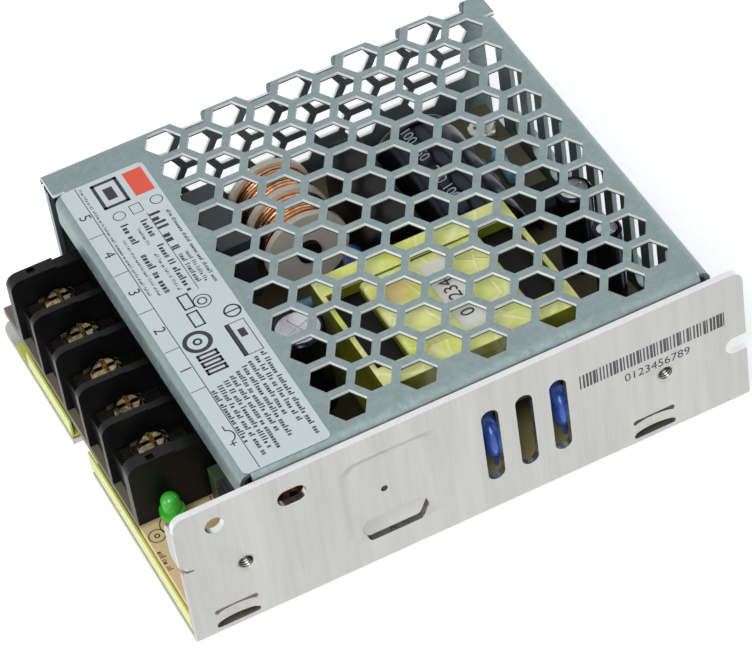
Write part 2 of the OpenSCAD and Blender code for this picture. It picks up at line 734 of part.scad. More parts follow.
module transformer_winding() {
    w = transformer_l / 2 - tape_side - core_leg;
    color("khaki") difference() {
        along_y(trafo_y0 + yoke_w, trafo_y1 - yoke_w)
            soft_rect(trafo_mid.x - w, winding_z[0], trafo_mid.x + w, winding_z[1], 1);
        along_y(trafo_y0, trafo_y1)
            rect(trafo_mid.x - core_mid / 2, core_z[0], trafo_mid.x + core_mid / 2, core_z[1]);
    }
}

module transformer_bobbin() {
    color([0.16, 0.15, 0.14]) {
        for (s = [-1, 1]) block([trafo_mid.x + s * (transformer_l / 2 - 4) - 2.6, trafo_y0 + 1, board_top],
            [trafo_mid.x + s * (transformer_l / 2 - 4) + 2.6, trafo_y1 - 1, board_top + rail_h]);
        block([trafo_mid.x - transformer_l / 2 + 5, trafo_mid.y - 5, board_top + rail_h - 1.4],
            [trafo_mid.x + transformer_l / 2 - 5, trafo_mid.y + 5, board_top + rail_h]);
    }
}

// ---------------------------------------------------------------- chokes and capacitors

choke_d = 15.2 * min(kx, kz);
choke_l = 16 * ky;
choke_at = [at_x(31.9), at_y(64), board_top + choke_d / 2];
choke_y0 = choke_at.y - choke_l / 2;
choke_y1 = choke_at.y + choke_l / 2;
flange_t = 1.2;
choke_hub = 3;
wire_d = 0.95;

module choke_bobbin() {
    color("ivory") translate([choke_at.x, 0, choke_at.z]) difference() {
        union() {
            for (y = [choke_y0, choke_at.y - flange_t / 2, choke_y1 - flange_t])
                rod_y(y, y + flange_t, choke_d / 2);
            rod_y(choke_y0, choke_y1, choke_hub);
        }
        rod_y(choke_y0 - 1, choke_y1 + 1, choke_hub - 0.9);
    }
}

module choke_core() {
    color([0.2, 0.2, 0.2]) translate([choke_at.x, 0, choke_at.z])
        rod_y(choke_y0 - 0.8, choke_y1 + 0.8, choke_hub - 0.9);
}

module choke_windings() {
    span = (choke_l - 3 * flange_t) / 2;
    turns = floor(span / wire_d);
    r = choke_d / 2 - 1.1;
    color("peru") for (y = [choke_y0 + flange_t, choke_at.y + flange_t / 2])
        translate([choke_at.x, y, choke_at.z]) rotate([-90, 0, 0]) rotate_extrude() {
            translate([choke_hub, 0]) square([r - choke_hub, span]);
            for (i = [0:turns - 1]) translate([r, (i + 0.5) * span / turns])
                circle(d = span / turns - 0.02, $fn = 16);
        }
}

film_l = 6.9 * kx;
film_x0 = choke_at.x + choke_d / 2 + 1.4 * kx;
bulk_d = 16.8 * kz * min(1, kx);
bulk_l = 27 * ky;
bulk_gap = 0.8;             // between the film capacitor and the bulk capacitor
bulk_at = [film_x0 + film_l + bulk_gap + bulk_d / 2, at_y(39.6), board_top + bulk_d / 2];

module bulk_capacitor() {
    color([0.13, 0.13, 0.14]) translate(bulk_at) rotate([-90, 0, 0]) rotate_extrude() {
        r = bulk_d / 2;
        square([r - 1, bulk_l]);
        translate([0, 1]) square([r, bulk_l - 4]);
        translate([r - 1, 1]) circle(1, $fn = 24);
        translate([r - 1, bulk_l - 1]) circle(1, $fn = 24);
        translate([0, bulk_l - 2.2]) square([r, 1.2]);
        translate([0, bulk_l - 3.4]) square([r - 0.5, 2]);
    }
}

module bulk_capacitor_end() {
    y0 = bulk_at.y + bulk_l;
    color("silver") translate([bulk_at.x, 0, bulk_at.z]) rod_y(y0, y0 + 0.4, bulk_d / 2 - 1.6);
}

module line_capacitor() {
    color("darkslategray") translate([0, 0, board_top]) linear_extrude(13.2 * kz)
        soft_rect(at_x(17.4), at_y(58.2), at_x(23.6), at_y(74.4), 0.4);
}

module film_capacitor() {
    color([0.15, 0.15, 0.16]) translate([0, 0, board_top]) linear_extrude(17 * kz)
        soft_rect(film_x0, at_y(43), film_x0 + film_l, at_y(67.6), 0.4);
}

// Upright output capacitors: x, y, diameter.
output_caps = [for (c = [[19.8, 32, 9], [9.4, 33.6, 8], [71.9, 36, 6.3], [72.1, 25, 5]])
    [at_x(c.x), at_y(c.y), c.z * min(kx, ky)]];
output_cap_h = 17 * kz;
sleeve_t = 0.25;
sleeve_rim = 0.8;           // how far the sleeve's shrunk edge reaches over the can

module output_capacitor_cans() {
    h = output_cap_h - 0.4 - sleeve_t;
    color("silver") for (c = output_caps) translate([c.x, c.y, board_top + 0.4]) difference() {
        cylinder(d = c.z - 2 * sleeve_t, h = h);
        translate([0, 0, h]) for (a = [20, 110]) rotate(a) cube([c.z * 0.62, 0.35, 0.3], center = true);
    }
}

module output_capacitor_sleeves() {
    color([0.1, 0.1, 0.11]) for (c = output_caps) translate([c.x, c.y, board_top]) difference() {
        union() {
            cylinder(d = c.z, h = output_cap_h - 0.4);
            translate([0, 0, output_cap_h - 0.4]) cylinder(d1 = c.z, d2 = c.z - 0.8, h = 0.4);
        }
        translate([0, 0, 0.4]) cylinder(d = c.z - 2 * sleeve_t, h = output_cap_h - 0.4 - sleeve_t);
        translate([0, 0, -1]) cylinder(d = c.z - 2 * sleeve_rim, h = output_cap_h + 2);
    }
}

// A disc on edge with its two leads; the disc faces along Y when a is 0.
module disc_part(p, d, t, a, lift = 1.2) {
    translate([p.x, p.y, board_top]) rotate(a) {
        translate([0, 0, d / 2 + lift]) rotate([90, 0, 0]) rotate_extrude() {
            translate([0, -t / 2]) square([d / 2 - t / 2, t]);
            translate([d / 2 - t / 2, 0]) circle(t / 2, $fn = 24);
        }
        for (s = [-1, 1]) translate([s * d * 0.28, 0, 0]) cylinder(d = 0.7, h = lift + d * 0.3);
    }
}

pad_t = 0.3;
pad_half = 5.4;             // half the width of a pad
// one device over the pressed panel, the other beside the rear threaded hole
device_x = [(panel[0] + panel[2]) / 2, mounts_x[1] - collar_r - 0.65 - pad_half];
device_y = [wall_in + panel_depth, wall_in];

disc_caps = concat(
    [for (c = [[32.4, 46.8, 0], [38, 50.2, 90], [39, 5.6, 90]]) [at_x(c.x), at_y(c.y), c.z]],
    [[device_x[1] - 8.6, at_y(5.6), 90]]);

module disc_capacitors() {
    color("royalblue") for (c = disc_caps) disc_part(c, 8 * k_disc, 3 * k_disc, c.z);
}

inductor_d = 10.4 * min(kx, ky);
inductor_wire = 1.05;       // thickness of its turns
inductor_gap = 0.85;        // between the trimmer and the turns
inductor_r = inductor_d / 2 + inductor_wire;
inductor_at = [trimmer_at.x + trimmer_w / 2 + inductor_gap + inductor_r, at_y(19.4)];

module inductor_core() {
    color("gold") translate([inductor_at.x, inductor_at.y, board_top + 1.2]) difference() {
        cylinder(d = inductor_d, h = 5.2);
        translate([0, 0, -1]) cylinder(d = inductor_d * 0.5, h = 8);
    }
}

// Turns of wire round the toroid, each a flat rectangular loop.
module inductor_winding() {
    turns = 15;
    ri = inductor_d * 0.25;
    ro = inductor_d / 2;
    w = inductor_wire;
    color("peru") translate([inductor_at.x, inductor_at.y, board_top]) for (i = [0:turns - 1])
        rotate(30 + i * 300 / (turns - 1)) translate([0, -w / 2, 0]) difference() {
            translate([ri - w * 0.9, 0, 0.2]) cube([ro - ri + 2 * w * 0.95, w, 7.3]);
            translate([ri - 0.06, -1, 1.2]) cube([ro - ri + 0.08, w + 2, 5.2]);
        }
}

// ---------------------------------------------------------------- semiconductors and small parts

module thermal_pads() {
    color("lightgrey") for (i = [0, 1])
        block([device_x[i] - pad_half, device_y[i], board_top + 5.2],
            [device_x[i] + pad_half, device_y[i] + pad_t, case_h - 8]);
}

// TO-220 packages: a metal tab against the wall, a moulded body and three legs.
module power_devices() {
    color([0.14, 0.14, 0.15]) for (i = [0, 1]) translate([device_x[i], device_y[i] + pad_t, board_top]) {
        difference() {
            block([-5, 0, 5.6], [5, 1.3, 14.6]);
            translate([0, -1, 12.2]) rod_y(0, 4, 1.8);
        }
        block([-5, 1.3 - eps, 5.6], [5, 4.4, 10.4]);
        for (k = [-1, 0, 1]) {
            block([k * 2.54 - 0.4, 2.3, 3.2], [k * 2.54 + 0.4, 2.8, 5.7]);
            block([k * 2.54 - 0.4, 2.3, 3.2], [k * 2.54 + 0.4, 4.4, 3.7]);
            block([k * 2.54 - 0.4, 3.9, 0], [k * 2.54 + 0.4, 4.4, 3.7]);
        }
    }
}

opto_at = [at_x(25.6), at_y(43)];

// Small moulded package on bent legs: size w along X, l along Y, legs on both sides in Y.
module dip_package(p, w, l, legs) {
    translate([p.x, p.y, board_top]) {
        block([-w / 2, -l / 2, 0.7], [w / 2, l / 2, 3.6]);
        for (i = [0:legs - 1], s = [-1, 1]) translate([(i - (legs - 1) / 2) * 2.54, s * (l / 2 + 0.6), 0])
            block([-0.3, s > 0 ? -0.65 : -0.15, 0], [0.3, s > 0 ? 0.15 : 0.65, 2]);
    }
}

module optocoupler() {
    color([0.9, 0.9, 0.88]) dip_package(opto_at, 4.6, 6.3, 2);
}

module control_chip() {
    color([0.12, 0.12, 0.12]) dip_package([at_x(71.2), at_y(50)], 9.6, 6.3, 4);
}

module bridge_rectifier() {
    color([0.12, 0.12, 0.13]) {
        block([at_x(6.6), at_y(48), board_top + 3.2], [at_x(10.2), at_y(62.6), board_top + 14 * kz]);
        for (i = [0:3]) block([at_x(8.1), at_y(49.8 + i * 3.7), board_top],
            [at_x(8.7), at_y(50.6 + i * 3.7), board_top + 3.3]);
    }
}

module fuse() {
    color("saddlebrown") {
        translate([0, 0, board_top + 0.5]) linear_extrude(8 * kz)
            soft_rect(at_x(1.6), at_y(70.6), at_x(10), at_y(74.6), 0.5);
        for (s = [-1, 1]) translate([at_x(5.8) + s * 2.54, at_y(72.6), board_top]) cylinder(d = 0.7, h = 1);
    }
}

module thermistor() {
    color("darkolivegreen") disc_part([at_x(13.3), at_y(70.4)], 9 * k_disc, 3.6 * k_disc, 90);
}

module varistor() {
    color("navy") disc_part([at_x(2.6), at_y(61)], 10 * k_disc, 3.8 * k_disc, 90);
}

// Axial resistors lying on the board: x, y and direction.
beside_bulk = bulk_at.x + bulk_d / 2 + 2.4;
resistor_at = concat(
    [for (x = [beside_bulk, beside_bulk + 3.7 * kx]) [x, at_y(62), 90]],
    [for (r = [[28.5, 50.8, 0], [14, 42, 90], [63, 8, 0], [5, 8.6, 0]]) [at_x(r.x), at_y(r.y), r.z]]);

module resistors() {
    color("skyblue") for (r = resistor_at) translate([r.x, r.y, board_top + 1.3]) rotate(r.z) {
        rod_x(-3.1, 3.1, 1.05);
        for (s = [-1, 1]) rod_x(s > 0 ? 1.5 : -3.2, s > 0 ? 3.2 : -1.5, 1.25);
        for (s = [-1, 1]) {
            rod_x(s > 0 ? 3 : -5.2, s > 0 ? 5.2 : -3, 0.3);
            translate([s * 5, 0, -1.3]) cylinder(d = 0.6, h = 1.5);
        }
    }
}

// ---------------------------------------------------------------- assembly

chassis();
cover();
rating_label();
cover_screws();
insulating_film();
circuit_board();
board_standoffs();
board_screws();
terminal_block();
terminal_plates();
terminal_washer(0);  // terminal_washer_1
terminal_washer(1);  // terminal_washer_2
terminal_washer(2);  // terminal_washer_3
terminal_washer(3);  // terminal_washer_4
terminal_washer(4);  // terminal_washer_5
terminal_screw(0);  // terminal_screw_1
terminal_screw(1);  // terminal_screw_2
terminal_screw(2);  // terminal_screw_3
terminal_screw(3);  // terminal_screw_4
terminal_screw(4);  // terminal_screw_5
lamp_lens();
lamp_leads();
trimmer_body();
trimmer_knob();
transformer_core();
transformer_bobbin();
transformer_winding();
transformer_tape();
choke_core();
choke_bobbin();
choke_windings();
bulk_capacitor();
bulk_capacitor_end();
line_capacitor();
film_capacitor();
output_capacitor_cans();
output_capacitor_sleeves();
disc_capacitors();
inductor_core();
inductor_winding();
bridge_rectifier();
power_devices();
thermal_pads();
optocoupler();
control_chip();
fuse();
thermistor();
varistor();
resistors();
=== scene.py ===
"""Looks of the mesh case power supply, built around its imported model. Lengths are in metres."""
import bmesh
import bpy
import json
import math
import numpy as np
from mathutils import Matrix, Vector

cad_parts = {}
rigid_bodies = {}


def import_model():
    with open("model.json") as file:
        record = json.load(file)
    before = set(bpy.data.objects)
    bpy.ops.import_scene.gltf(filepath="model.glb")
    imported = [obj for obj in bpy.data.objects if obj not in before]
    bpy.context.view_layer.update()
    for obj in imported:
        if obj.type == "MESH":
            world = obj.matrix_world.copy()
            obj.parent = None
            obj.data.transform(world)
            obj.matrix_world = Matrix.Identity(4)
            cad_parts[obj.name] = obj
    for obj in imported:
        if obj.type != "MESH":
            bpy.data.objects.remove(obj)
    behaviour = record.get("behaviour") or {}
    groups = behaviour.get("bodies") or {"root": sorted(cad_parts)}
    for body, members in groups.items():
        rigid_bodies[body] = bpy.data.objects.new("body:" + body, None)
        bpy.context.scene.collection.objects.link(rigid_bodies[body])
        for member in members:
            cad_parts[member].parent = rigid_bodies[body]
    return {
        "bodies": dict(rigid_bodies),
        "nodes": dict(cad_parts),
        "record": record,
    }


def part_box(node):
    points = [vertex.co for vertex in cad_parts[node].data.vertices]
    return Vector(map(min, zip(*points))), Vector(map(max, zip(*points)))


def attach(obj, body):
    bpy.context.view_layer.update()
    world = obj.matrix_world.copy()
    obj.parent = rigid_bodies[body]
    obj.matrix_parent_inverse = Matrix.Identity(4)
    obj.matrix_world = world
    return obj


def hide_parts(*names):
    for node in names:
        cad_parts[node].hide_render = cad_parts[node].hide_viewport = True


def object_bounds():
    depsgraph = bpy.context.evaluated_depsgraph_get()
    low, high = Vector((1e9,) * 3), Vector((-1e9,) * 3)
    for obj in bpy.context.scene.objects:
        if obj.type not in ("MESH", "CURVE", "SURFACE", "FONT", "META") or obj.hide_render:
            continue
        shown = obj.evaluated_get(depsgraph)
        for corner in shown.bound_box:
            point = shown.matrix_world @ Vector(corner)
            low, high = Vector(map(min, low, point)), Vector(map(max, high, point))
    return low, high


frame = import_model()
cad_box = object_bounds()
MM = 0.001


# ---------------------------------------------------------------- sizes taken from the frame

def span(node):
    """Lowest and highest corner of a node, in millimetres."""
    low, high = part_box(node)
    return np.array(low) / MM, np.array(high) / MM


CASE_LOW, CASE_HIGH = np.array(cad_box[0]) / MM, np.array(cad_box[1]) / MM
LABEL_LOW, LABEL_HIGH = span("rating_label")
BOARD_LOW, BOARD_HIGH = span("circuit_board")
BLOCK_LOW, BLOCK_HIGH = span("terminal_block")
SCREWS = [(span("terminal_screw_%d" % i)[0] + span("terminal_screw_%d" % i)[1]) / 2 for i in range(1, 6)]
BULK_LOW, BULK_HIGH = span("bulk_capacitor")
WINDING_LOW, WINDING_HIGH = span("transformer_winding")
THREADS = [m for m in frame["record"]["mounts"] if m["name"] == "side_threads"][0]
# bar pattern on the near wall
BARS_X = np.array([CASE_HIGH[0] - 29.7, CASE_HIGH[0] - 3.7])
BARS_Z = np.array([CASE_HIGH[2] - 11.3, CASE_HIGH[2] - 8.3])


# ---------------------------------------------------------------- camera, lights and stage

def place_camera():
    """A long lens at the viewing angle; roll turns the camera about its own line of sight."""
    location = Vector((-0.14526, -0.41595, 0.45212))
    target = Vector((0.00017, -0.00702, 0.015))
    roll = math.radians(-9.444)
    data = bpy.data.cameras.new("camera")
    data.lens = 182.015
    data.sensor_width = 36
    data.clip_start = 0.01
    camera = bpy.data.objects.new("camera", data)
    bpy.context.scene.collection.objects.link(camera)
    turn = (target - location).to_track_quat("-Z", "Y").to_matrix() @ Matrix.Rotation(roll, 3, "Z")
    camera.matrix_world = Matrix.Translation(location) @ turn.to_4x4()
    bpy.context.scene.camera = camera


def area_light(name, location, target, size, watts):
    """A soft square white lamp that faces the target."""
    data = bpy.data.lights.new(name, "AREA")
    data.shape = "SQUARE"
    data.size = size
    data.energy = watts
    lamp = bpy.data.objects.new(name, data)
    bpy.context.scene.collection.objects.link(lamp)
    lamp.location = location
    direction = Vector(target) - Vector(location)
    lamp.rotation_euler = direction.to_track_quat("-Z", "Y").to_euler()


# ---------------------------------------------------------------- shader building

def colour(red, green, blue):
    """Linear colour from display values of 0 to 255."""
    shares = [v / 255 for v in (red, green, blue)]
    return tuple(s / 12.92 if s <= 0.04045 else ((s + 0.055) / 1.055) ** 2.4 for s in shares) + (1.0,)


def scaled(base, factor):
    """The colour made lighter or darker by a factor."""
    return tuple(min(1.0, c * factor) for c in base[:3]) + (1.0,)


def add(tree, kind, inputs=None, **settings):
    """A shader node with its settings; an input is a value, or the socket that feeds it."""
    node = tree.nodes.new(kind)
    for key, value in settings.items():
        setattr(node, key, value)
    for key, value in (inputs or {}).items():
        if isinstance(value, bpy.types.NodeSocket):
            tree.links.new(value, node.inputs[key])
        else:
            node.inputs[key].default_value = value
    return node


def calc(tree, operation, a, b=0.5, clamp=False):
    """Result of a Math node."""
    return add(tree, "ShaderNodeMath", {0: a, 1: b}, operation=operation, use_clamp=clamp).outputs[0]


def blend(tree, factor, a, b, blend_type="MIX"):
    """Result of mixing two colours."""
    inputs = {0: factor, 6: a, 7: b}
    return add(tree, "ShaderNodeMix", inputs, data_type="RGBA", blend_type=blend_type).outputs[2]


def remap(tree, value, low, high, to_low=0.0, to_high=1.0):
    """Value moved from one range to another and held inside it."""
    inputs = {"Value": value, "From Min": low, "From Max": high, "To Min": to_low, "To Max": to_high}
    return add(tree, "ShaderNodeMapRange", inputs).outputs[0]


def stretched(tree, vector, x, y, z):
    """The vector with each axis scaled."""
    return add(tree, "ShaderNodeMapping", {"Vector": vector, "Scale": (x, y, z)}).outputs[0]


def object_place(tree):
    """Object coordinates in metres."""
    return add(tree, "ShaderNodeTexCoord").outputs["Object"]


def axes(tree, vector=None):
    """X, Y and Z of a vector, or of the object coordinates."""
    return add(tree, "ShaderNodeSeparateXYZ", {0: vector or object_place(tree)}).outputs


def noise(tree, vector, per_metre, detail=2.0, rough=0.5):
    """Value of a noise with that many blobs a metre."""
    inputs = {"Vector": vector, "Scale": per_metre, "Detail": detail, "Roughness": rough}
    return add(tree, "ShaderNodeTexNoise", inputs).outputs[0]


def new_group(name, inputs, outputs):
    """An empty shader group, with its input and output nodes. Inputs are (name, kind, value)."""
    group = bpy.data.node_groups.new(name, "ShaderNodeTree")
    for label, kind, value in inputs:
        socket = group.interface.new_socket(label, in_out="INPUT", socket_type=kind)
        if value is not None:
            socket.default_value = value
    for label in outputs:
        group.interface.new_socket(label, in_out="OUTPUT", socket_type="NodeSocketFloat")
    return group, group.nodes.new("NodeGroupInput").outputs, group.nodes.new("NodeGroupOutput").inputs


def make_grain_group():
    """Fine moulded or cast grain, with a slow change of tone over the surface."""
    inputs = [("Vector", "NodeSocketVector", None), ("Per metre", "NodeSocketFloat", 2500.0)]
    group, given, result = new_group("fine_grain", inputs, ["Tone", "Height"])
    fine = noise(group, given["Vector"], given["Per metre"], 3.0, 0.6)
    slow = noise(group, given["Vector"], calc(group, "MULTIPLY", given["Per metre"], 0.06), 2.0)
    both = calc(group, "ADD", calc(group, "MULTIPLY", fine, 0.4), calc(group, "MULTIPLY", slow, 0.6))
    group.links.new(remap(group, both, 0.35, 0.65), result["Tone"])
    group.links.new(fine, result["Height"])
    return group


def make_brushed_group():
    """Long fine lines of brushed or drawn metal; the vector is already stretched along them."""
    inputs = [("Vector", "NodeSocketVector", None), ("Lines per metre", "NodeSocketFloat", 3500.0)]
    group, given, result = new_group("brushed_lines", inputs, ["Tone", "Height"])
    fine = noise(group, given["Vector"], given["Lines per metre"], 2.0, 0.7)
    broad = noise(group, given["Vector"], calc(group, "MULTIPLY", given["Lines per metre"], 0.2), 2.0)
    both = calc(group, "ADD", calc(group, "MULTIPLY", fine, 0.55), calc(group, "MULTIPLY", broad, 0.45))
    group.links.new(remap(group, both, 0.33, 0.67), result["Tone"])
    group.links.new(fine, result["Height"])
    return group


def make_patina_group():
    """Crystals, specks and clouds of a zinc coated sheet."""
    inputs = [("Vector", "NodeSocketVector", None), ("Crystals per metre", "NodeSocketFloat", 1100.0)]
    group, given, result = new_group("zinc_patina", inputs, ["Tone", "Specks", "Height"])
    vector, crystals = given["Vector"], given["Crystals per metre"]
    cells = add(group, "ShaderNodeTexVoronoi", {"Vector": vector, "Scale": crystals})
    flat = add(group, "ShaderNodeSeparateColor", {0: cells.outputs["Color"]}).outputs[0]
    fine = noise(group, vector, calc(group, "MULTIPLY", crystals, 3.0), 3.0, 0.7)
    cloud = noise(group, vector, calc(group, "MULTIPLY", crystals, 0.09), 3.0)
    tone = calc(group, "ADD", calc(group, "MULTIPLY", flat, 0.2), calc(group, "MULTIPLY", fine, 0.45))
    tone = calc(group, "ADD", tone, calc(group, "MULTIPLY", cloud, 0.35))
    group.links.new(remap(group, tone, 0.34, 0.66), result["Tone"])
    group.links.new(remap(group, fine, 0.62, 0.72), result["Specks"])
    group.links.new(fine, result["Height"])
    return group


def make_crease_group():
    """Folds and wrinkles of thin tape: sharp ridges between flat facets, and a soft sag; the Tone, lighter
    towards the edges of the facets and on the ridges, is painted highlight of the creases.
    """
    inputs = [("Vector", "NodeSocketVector", None), ("Folds per metre", "NodeSocketFloat", 200.0)]
    group, given, result = new_group("tape_creases", inputs, ["Tone", "Height"])
    bent = noise(group, given["Vector"], calc(group, "MULTIPLY", given["Folds per metre"], 0.7), 1.0)
    moved = add(group, "ShaderNodeCombineXYZ", {0: calc(group, "MULTIPLY", bent, 0.004)}).outputs[0]
    shift = add(group, "ShaderNodeVectorMath", {0: given["Vector"], 1: moved}, operation="ADD")
    cell_inputs = {"Vector": shift.outputs[0], "Scale": given["Folds per metre"]}
    facet = add(group, "ShaderNodeTexVoronoi", cell_inputs, feature="SMOOTH_F1")
    ridge = add(group, "ShaderNodeTexVoronoi", cell_inputs, feature="DISTANCE_TO_EDGE").outputs["Distance"]
    line = remap(group, ridge, 0.0, 0.05, 1.0, 0.0)
    height = calc(group, "ADD", facet.outputs["Distance"], calc(group, "MULTIPLY", line, 0.15))
    # the tone lightens towards the facet edges and on the ridges: painted highlight
    tone = calc(group, "ADD", calc(group, "MULTIPLY", facet.outputs["Distance"], 0.8),
                calc(group, "MULTIPLY", line, 0.5), clamp=True)
    group.links.new(tone, result["Tone"])
    group.links.new(height, result["Height"])
    return group


GRAIN = make_grain_group()
BRUSHED = make_brushed_group()
PATINA = make_patina_group()
CREASES = make_crease_group()


def placed(tree, group, inputs):
    """Outputs of a shared group placed in a material."""
    return add(tree, "ShaderNodeGroup", inputs, node_tree=group).outputs


def new_material(name, base, roughness, **values):
    """A Principled material with plain values; values name other sockets, with _ for a space."""
    material = bpy.data.materials.new(name)
    material.use_nodes = True
    shader = material.node_tree.nodes["Principled BSDF"]
    shader.inputs["Base Color"].default_value = base
    shader.inputs["Roughness"].default_value = roughness
    for key, value in values.items():
        shader.inputs[key.replace("_", " ")].default_value = value
    return material


def parts_of(material):
    """Node tree and Principled shader of a material."""
    return material.node_tree, material.node_tree.nodes["Principled BSDF"]


def raise_surface(material, height, depth):
    """Bumps the surface by a height value; depth is in metres."""
    tree, shader = parts_of(material)
    bump = add(tree, "ShaderNodeBump", {"Height": height, "Distance": depth})
    tree.links.new(bump.outputs[0], shader.inputs["Normal"])


def grained(name, base, roughness, per_metre, depth, tone, rough_tone=0.05, **values):
    """A moulded, cast or painted surface: fine grain, with small changes of tone and gloss."""
    material = new_material(name, base, roughness, **values)
    tree, shader = parts_of(material)
    grain = placed(tree, GRAIN, {"Vector": object_place(tree), "Per metre": per_metre})
    shade = blend(tree, grain["Tone"], scaled(base, 1 - tone), scaled(base, 1 + tone))
    tree.links.new(shade, shader.inputs["Base Color"])
    gloss = remap(tree, grain["Tone"], 0.0, 1.0, roughness - rough_tone, roughness + rough_tone)
    tree.links.new(gloss, shader.inputs["Roughness"])
    raise_surface(material, grain["Height"], depth)
    return material


def drawn_metal(name, base, roughness, stretch, lines, depth, tone):
    """Bare metal with fine lines; stretch holds the scale along each axis, small along the lines."""
    material = new_material(name, base, roughness, Metallic=1.0)
    tree, shader = parts_of(material)
    vector = stretched(tree, object_place(tree), *stretch)
    lined = placed(tree, BRUSHED, {"Vector": vector, "Lines per metre": lines})
    shade = blend(tree, lined["Tone"], scaled(base, 1 - tone), scaled(base, 1 + tone))
    tree.links.new(shade, shader.inputs["Base Color"])
    gloss = remap(tree, lined["Tone"], 0.0, 1.0, roughness - 0.06, roughness + 0.06)
    tree.links.new(gloss, shader.inputs["Roughness"])
    raise_surface(material, lined["Height"], depth)
    return material


def within(tree, value, low, high):
    """1 where the value lies between two limits."""
    above = calc(tree, "GREATER_THAN", value, low)
    return calc(tree, "MULTIPLY", above, calc(tree, "LESS_THAN", value, high))


# ---------------------------------------------------------------- materials of the case

def aluminium_sheet():
    """Brushed sheet of the chassis, with a printed bar pattern at the rear of the near wall."""
    base = colour(183, 183, 181)
    material = drawn_metal("brushed_aluminium", base, 0.4, (1, 1, 0.025), 2400.0, 0.008 * MM, 0.13)
    tree, shader = parts_of(material)
    place = axes(tree)
    # bars: one in each step along X, of a width picked at random, on the outer side of the near wall
    bar_step = 0.6 * MM
    along = calc(tree, "MULTIPLY", place["X"], 1 / bar_step)
    step = calc(tree, "FLOOR", along)
    chance = add(tree, "ShaderNodeTexWhiteNoise", {"W": step}, noise_dimensions="1D").outputs["Value"]
    bars = calc(tree, "LESS_THAN", calc(tree, "FRACT", along), remap(tree, chance, 0.0, 1.0, 0.35, 0.92))
    bars = calc(tree, "MULTIPLY", bars, within(tree, place["X"], *(BARS_X * MM)))
    bars = calc(tree, "MULTIPLY", bars, within(tree, place["Z"], *(BARS_Z * MM)))
    bars = calc(tree, "MULTIPLY", bars, calc(tree, "LESS_THAN", place["Y"], (CASE_LOW[1] + 0.3) * MM))
    streaks = noise(tree, stretched(tree, object_place(tree), 1.0, 1.0, 0.12), 260.0, 3.0, 0.65)
    soft = blend(tree, remap(tree, streaks, 0.35, 0.65), scaled(base, 0.88), scaled(base, 1.06))
    lines = shader.inputs["Base Color"].links[0].from_socket
    toned = blend(tree, 0.5, lines, soft)
    tree.links.new(blend(tree, bars, toned, colour(40, 40, 44)), shader.inputs["Base Color"])
    tree.links.new(calc(tree, "SUBTRACT", 1.0, bars), shader.inputs["Metallic"])
    return material


def zinc_sheet():
    """Galvanised sheet of the cover."""
    base = colour(138, 154, 156)
    material = new_material("galvanised_steel", base, 0.42)
    tree, shader = parts_of(material)
    patina = placed(tree, PATINA, {"Vector": object_place(tree), "Crystals per metre": 1300.0})
    shade = blend(tree, patina["Tone"], scaled(base, 0.88), scaled(base, 1.1))
    shade = blend(tree, calc(tree, "MULTIPLY", patina["Specks"], 0.35), shade, colour(196, 206, 208))
    tree.links.new(shade, shader.inputs["Base Color"])
    tree.links.new(remap(tree, patina["Tone"], 0.0, 1.0, 0.36, 0.5), shader.inputs["Roughness"])
    tree.links.new(remap(tree, patina["Tone"], 0.0, 1.0, 0.8, 0.95), shader.inputs["Metallic"])
    raise_surface(material, patina["Height"], 0.006 * MM)
    return material


def cut_edge():
    """Cut faces and rounded edges of the cover: a bright band next to the outer side, and a dull torn band
    behind it. The near-white of that band is painted highlight, standing in for the glints of the burnished
    cut.
    """
    material = new_material("cut_steel_and_painted_glint", colour(246, 250, 250), 0.35, Metallic=0.12)
    tree, shader = parts_of(material)
    place = axes(tree)
    near_top = remap(tree, place["Z"], (CASE_HIGH[2] - 0.72) * MM, (CASE_HIGH[2] - 0.58) * MM)
    near_far = remap(tree, place["Y"], (CASE_HIGH[1] - 0.62) * MM, (CASE_HIGH[1] - 0.48) * MM)
    # painted highlight: near-white matte colour on cut faces and rounded edges near the outer side
    bright = calc(tree, "MAXIMUM", near_top, near_far)
    shade = blend(tree, bright, colour(64, 70, 72), colour(246, 250, 250))
    tree.links.new(shade, shader.inputs["Base Color"])
    return material


def wound_wire():
    """Enamelled wire wound side by side round an axis along Y; the dark between the turns is painted shade
    in the gaps.
    """
    base = colour(236, 178, 134)
    material = new_material("wound_wire", base, 0.25, Metallic=1.0)
    tree, shader = parts_of(material)
    place = axes(tree)
    loose = calc(tree, "MULTIPLY", noise(tree, object_place(tree), 110.0, 1.0), 1.2 * MM)
    turn = calc(tree, "MULTIPLY", calc(tree, "ADD", place["Y"], loose), 1 / (0.8 * MM))
    bulge = calc(tree, "PINGPONG", turn, 0.5)
    # painted shade: dark copper in the gaps between the turns
    shade = blend(tree, remap(tree, bulge, 0.02, 0.2), colour(70, 34, 18), base)
    tree.links.new(shade, shader.inputs["Base Color"])
    raise_surface(material, bulge, 0.5 * MM)
    return material


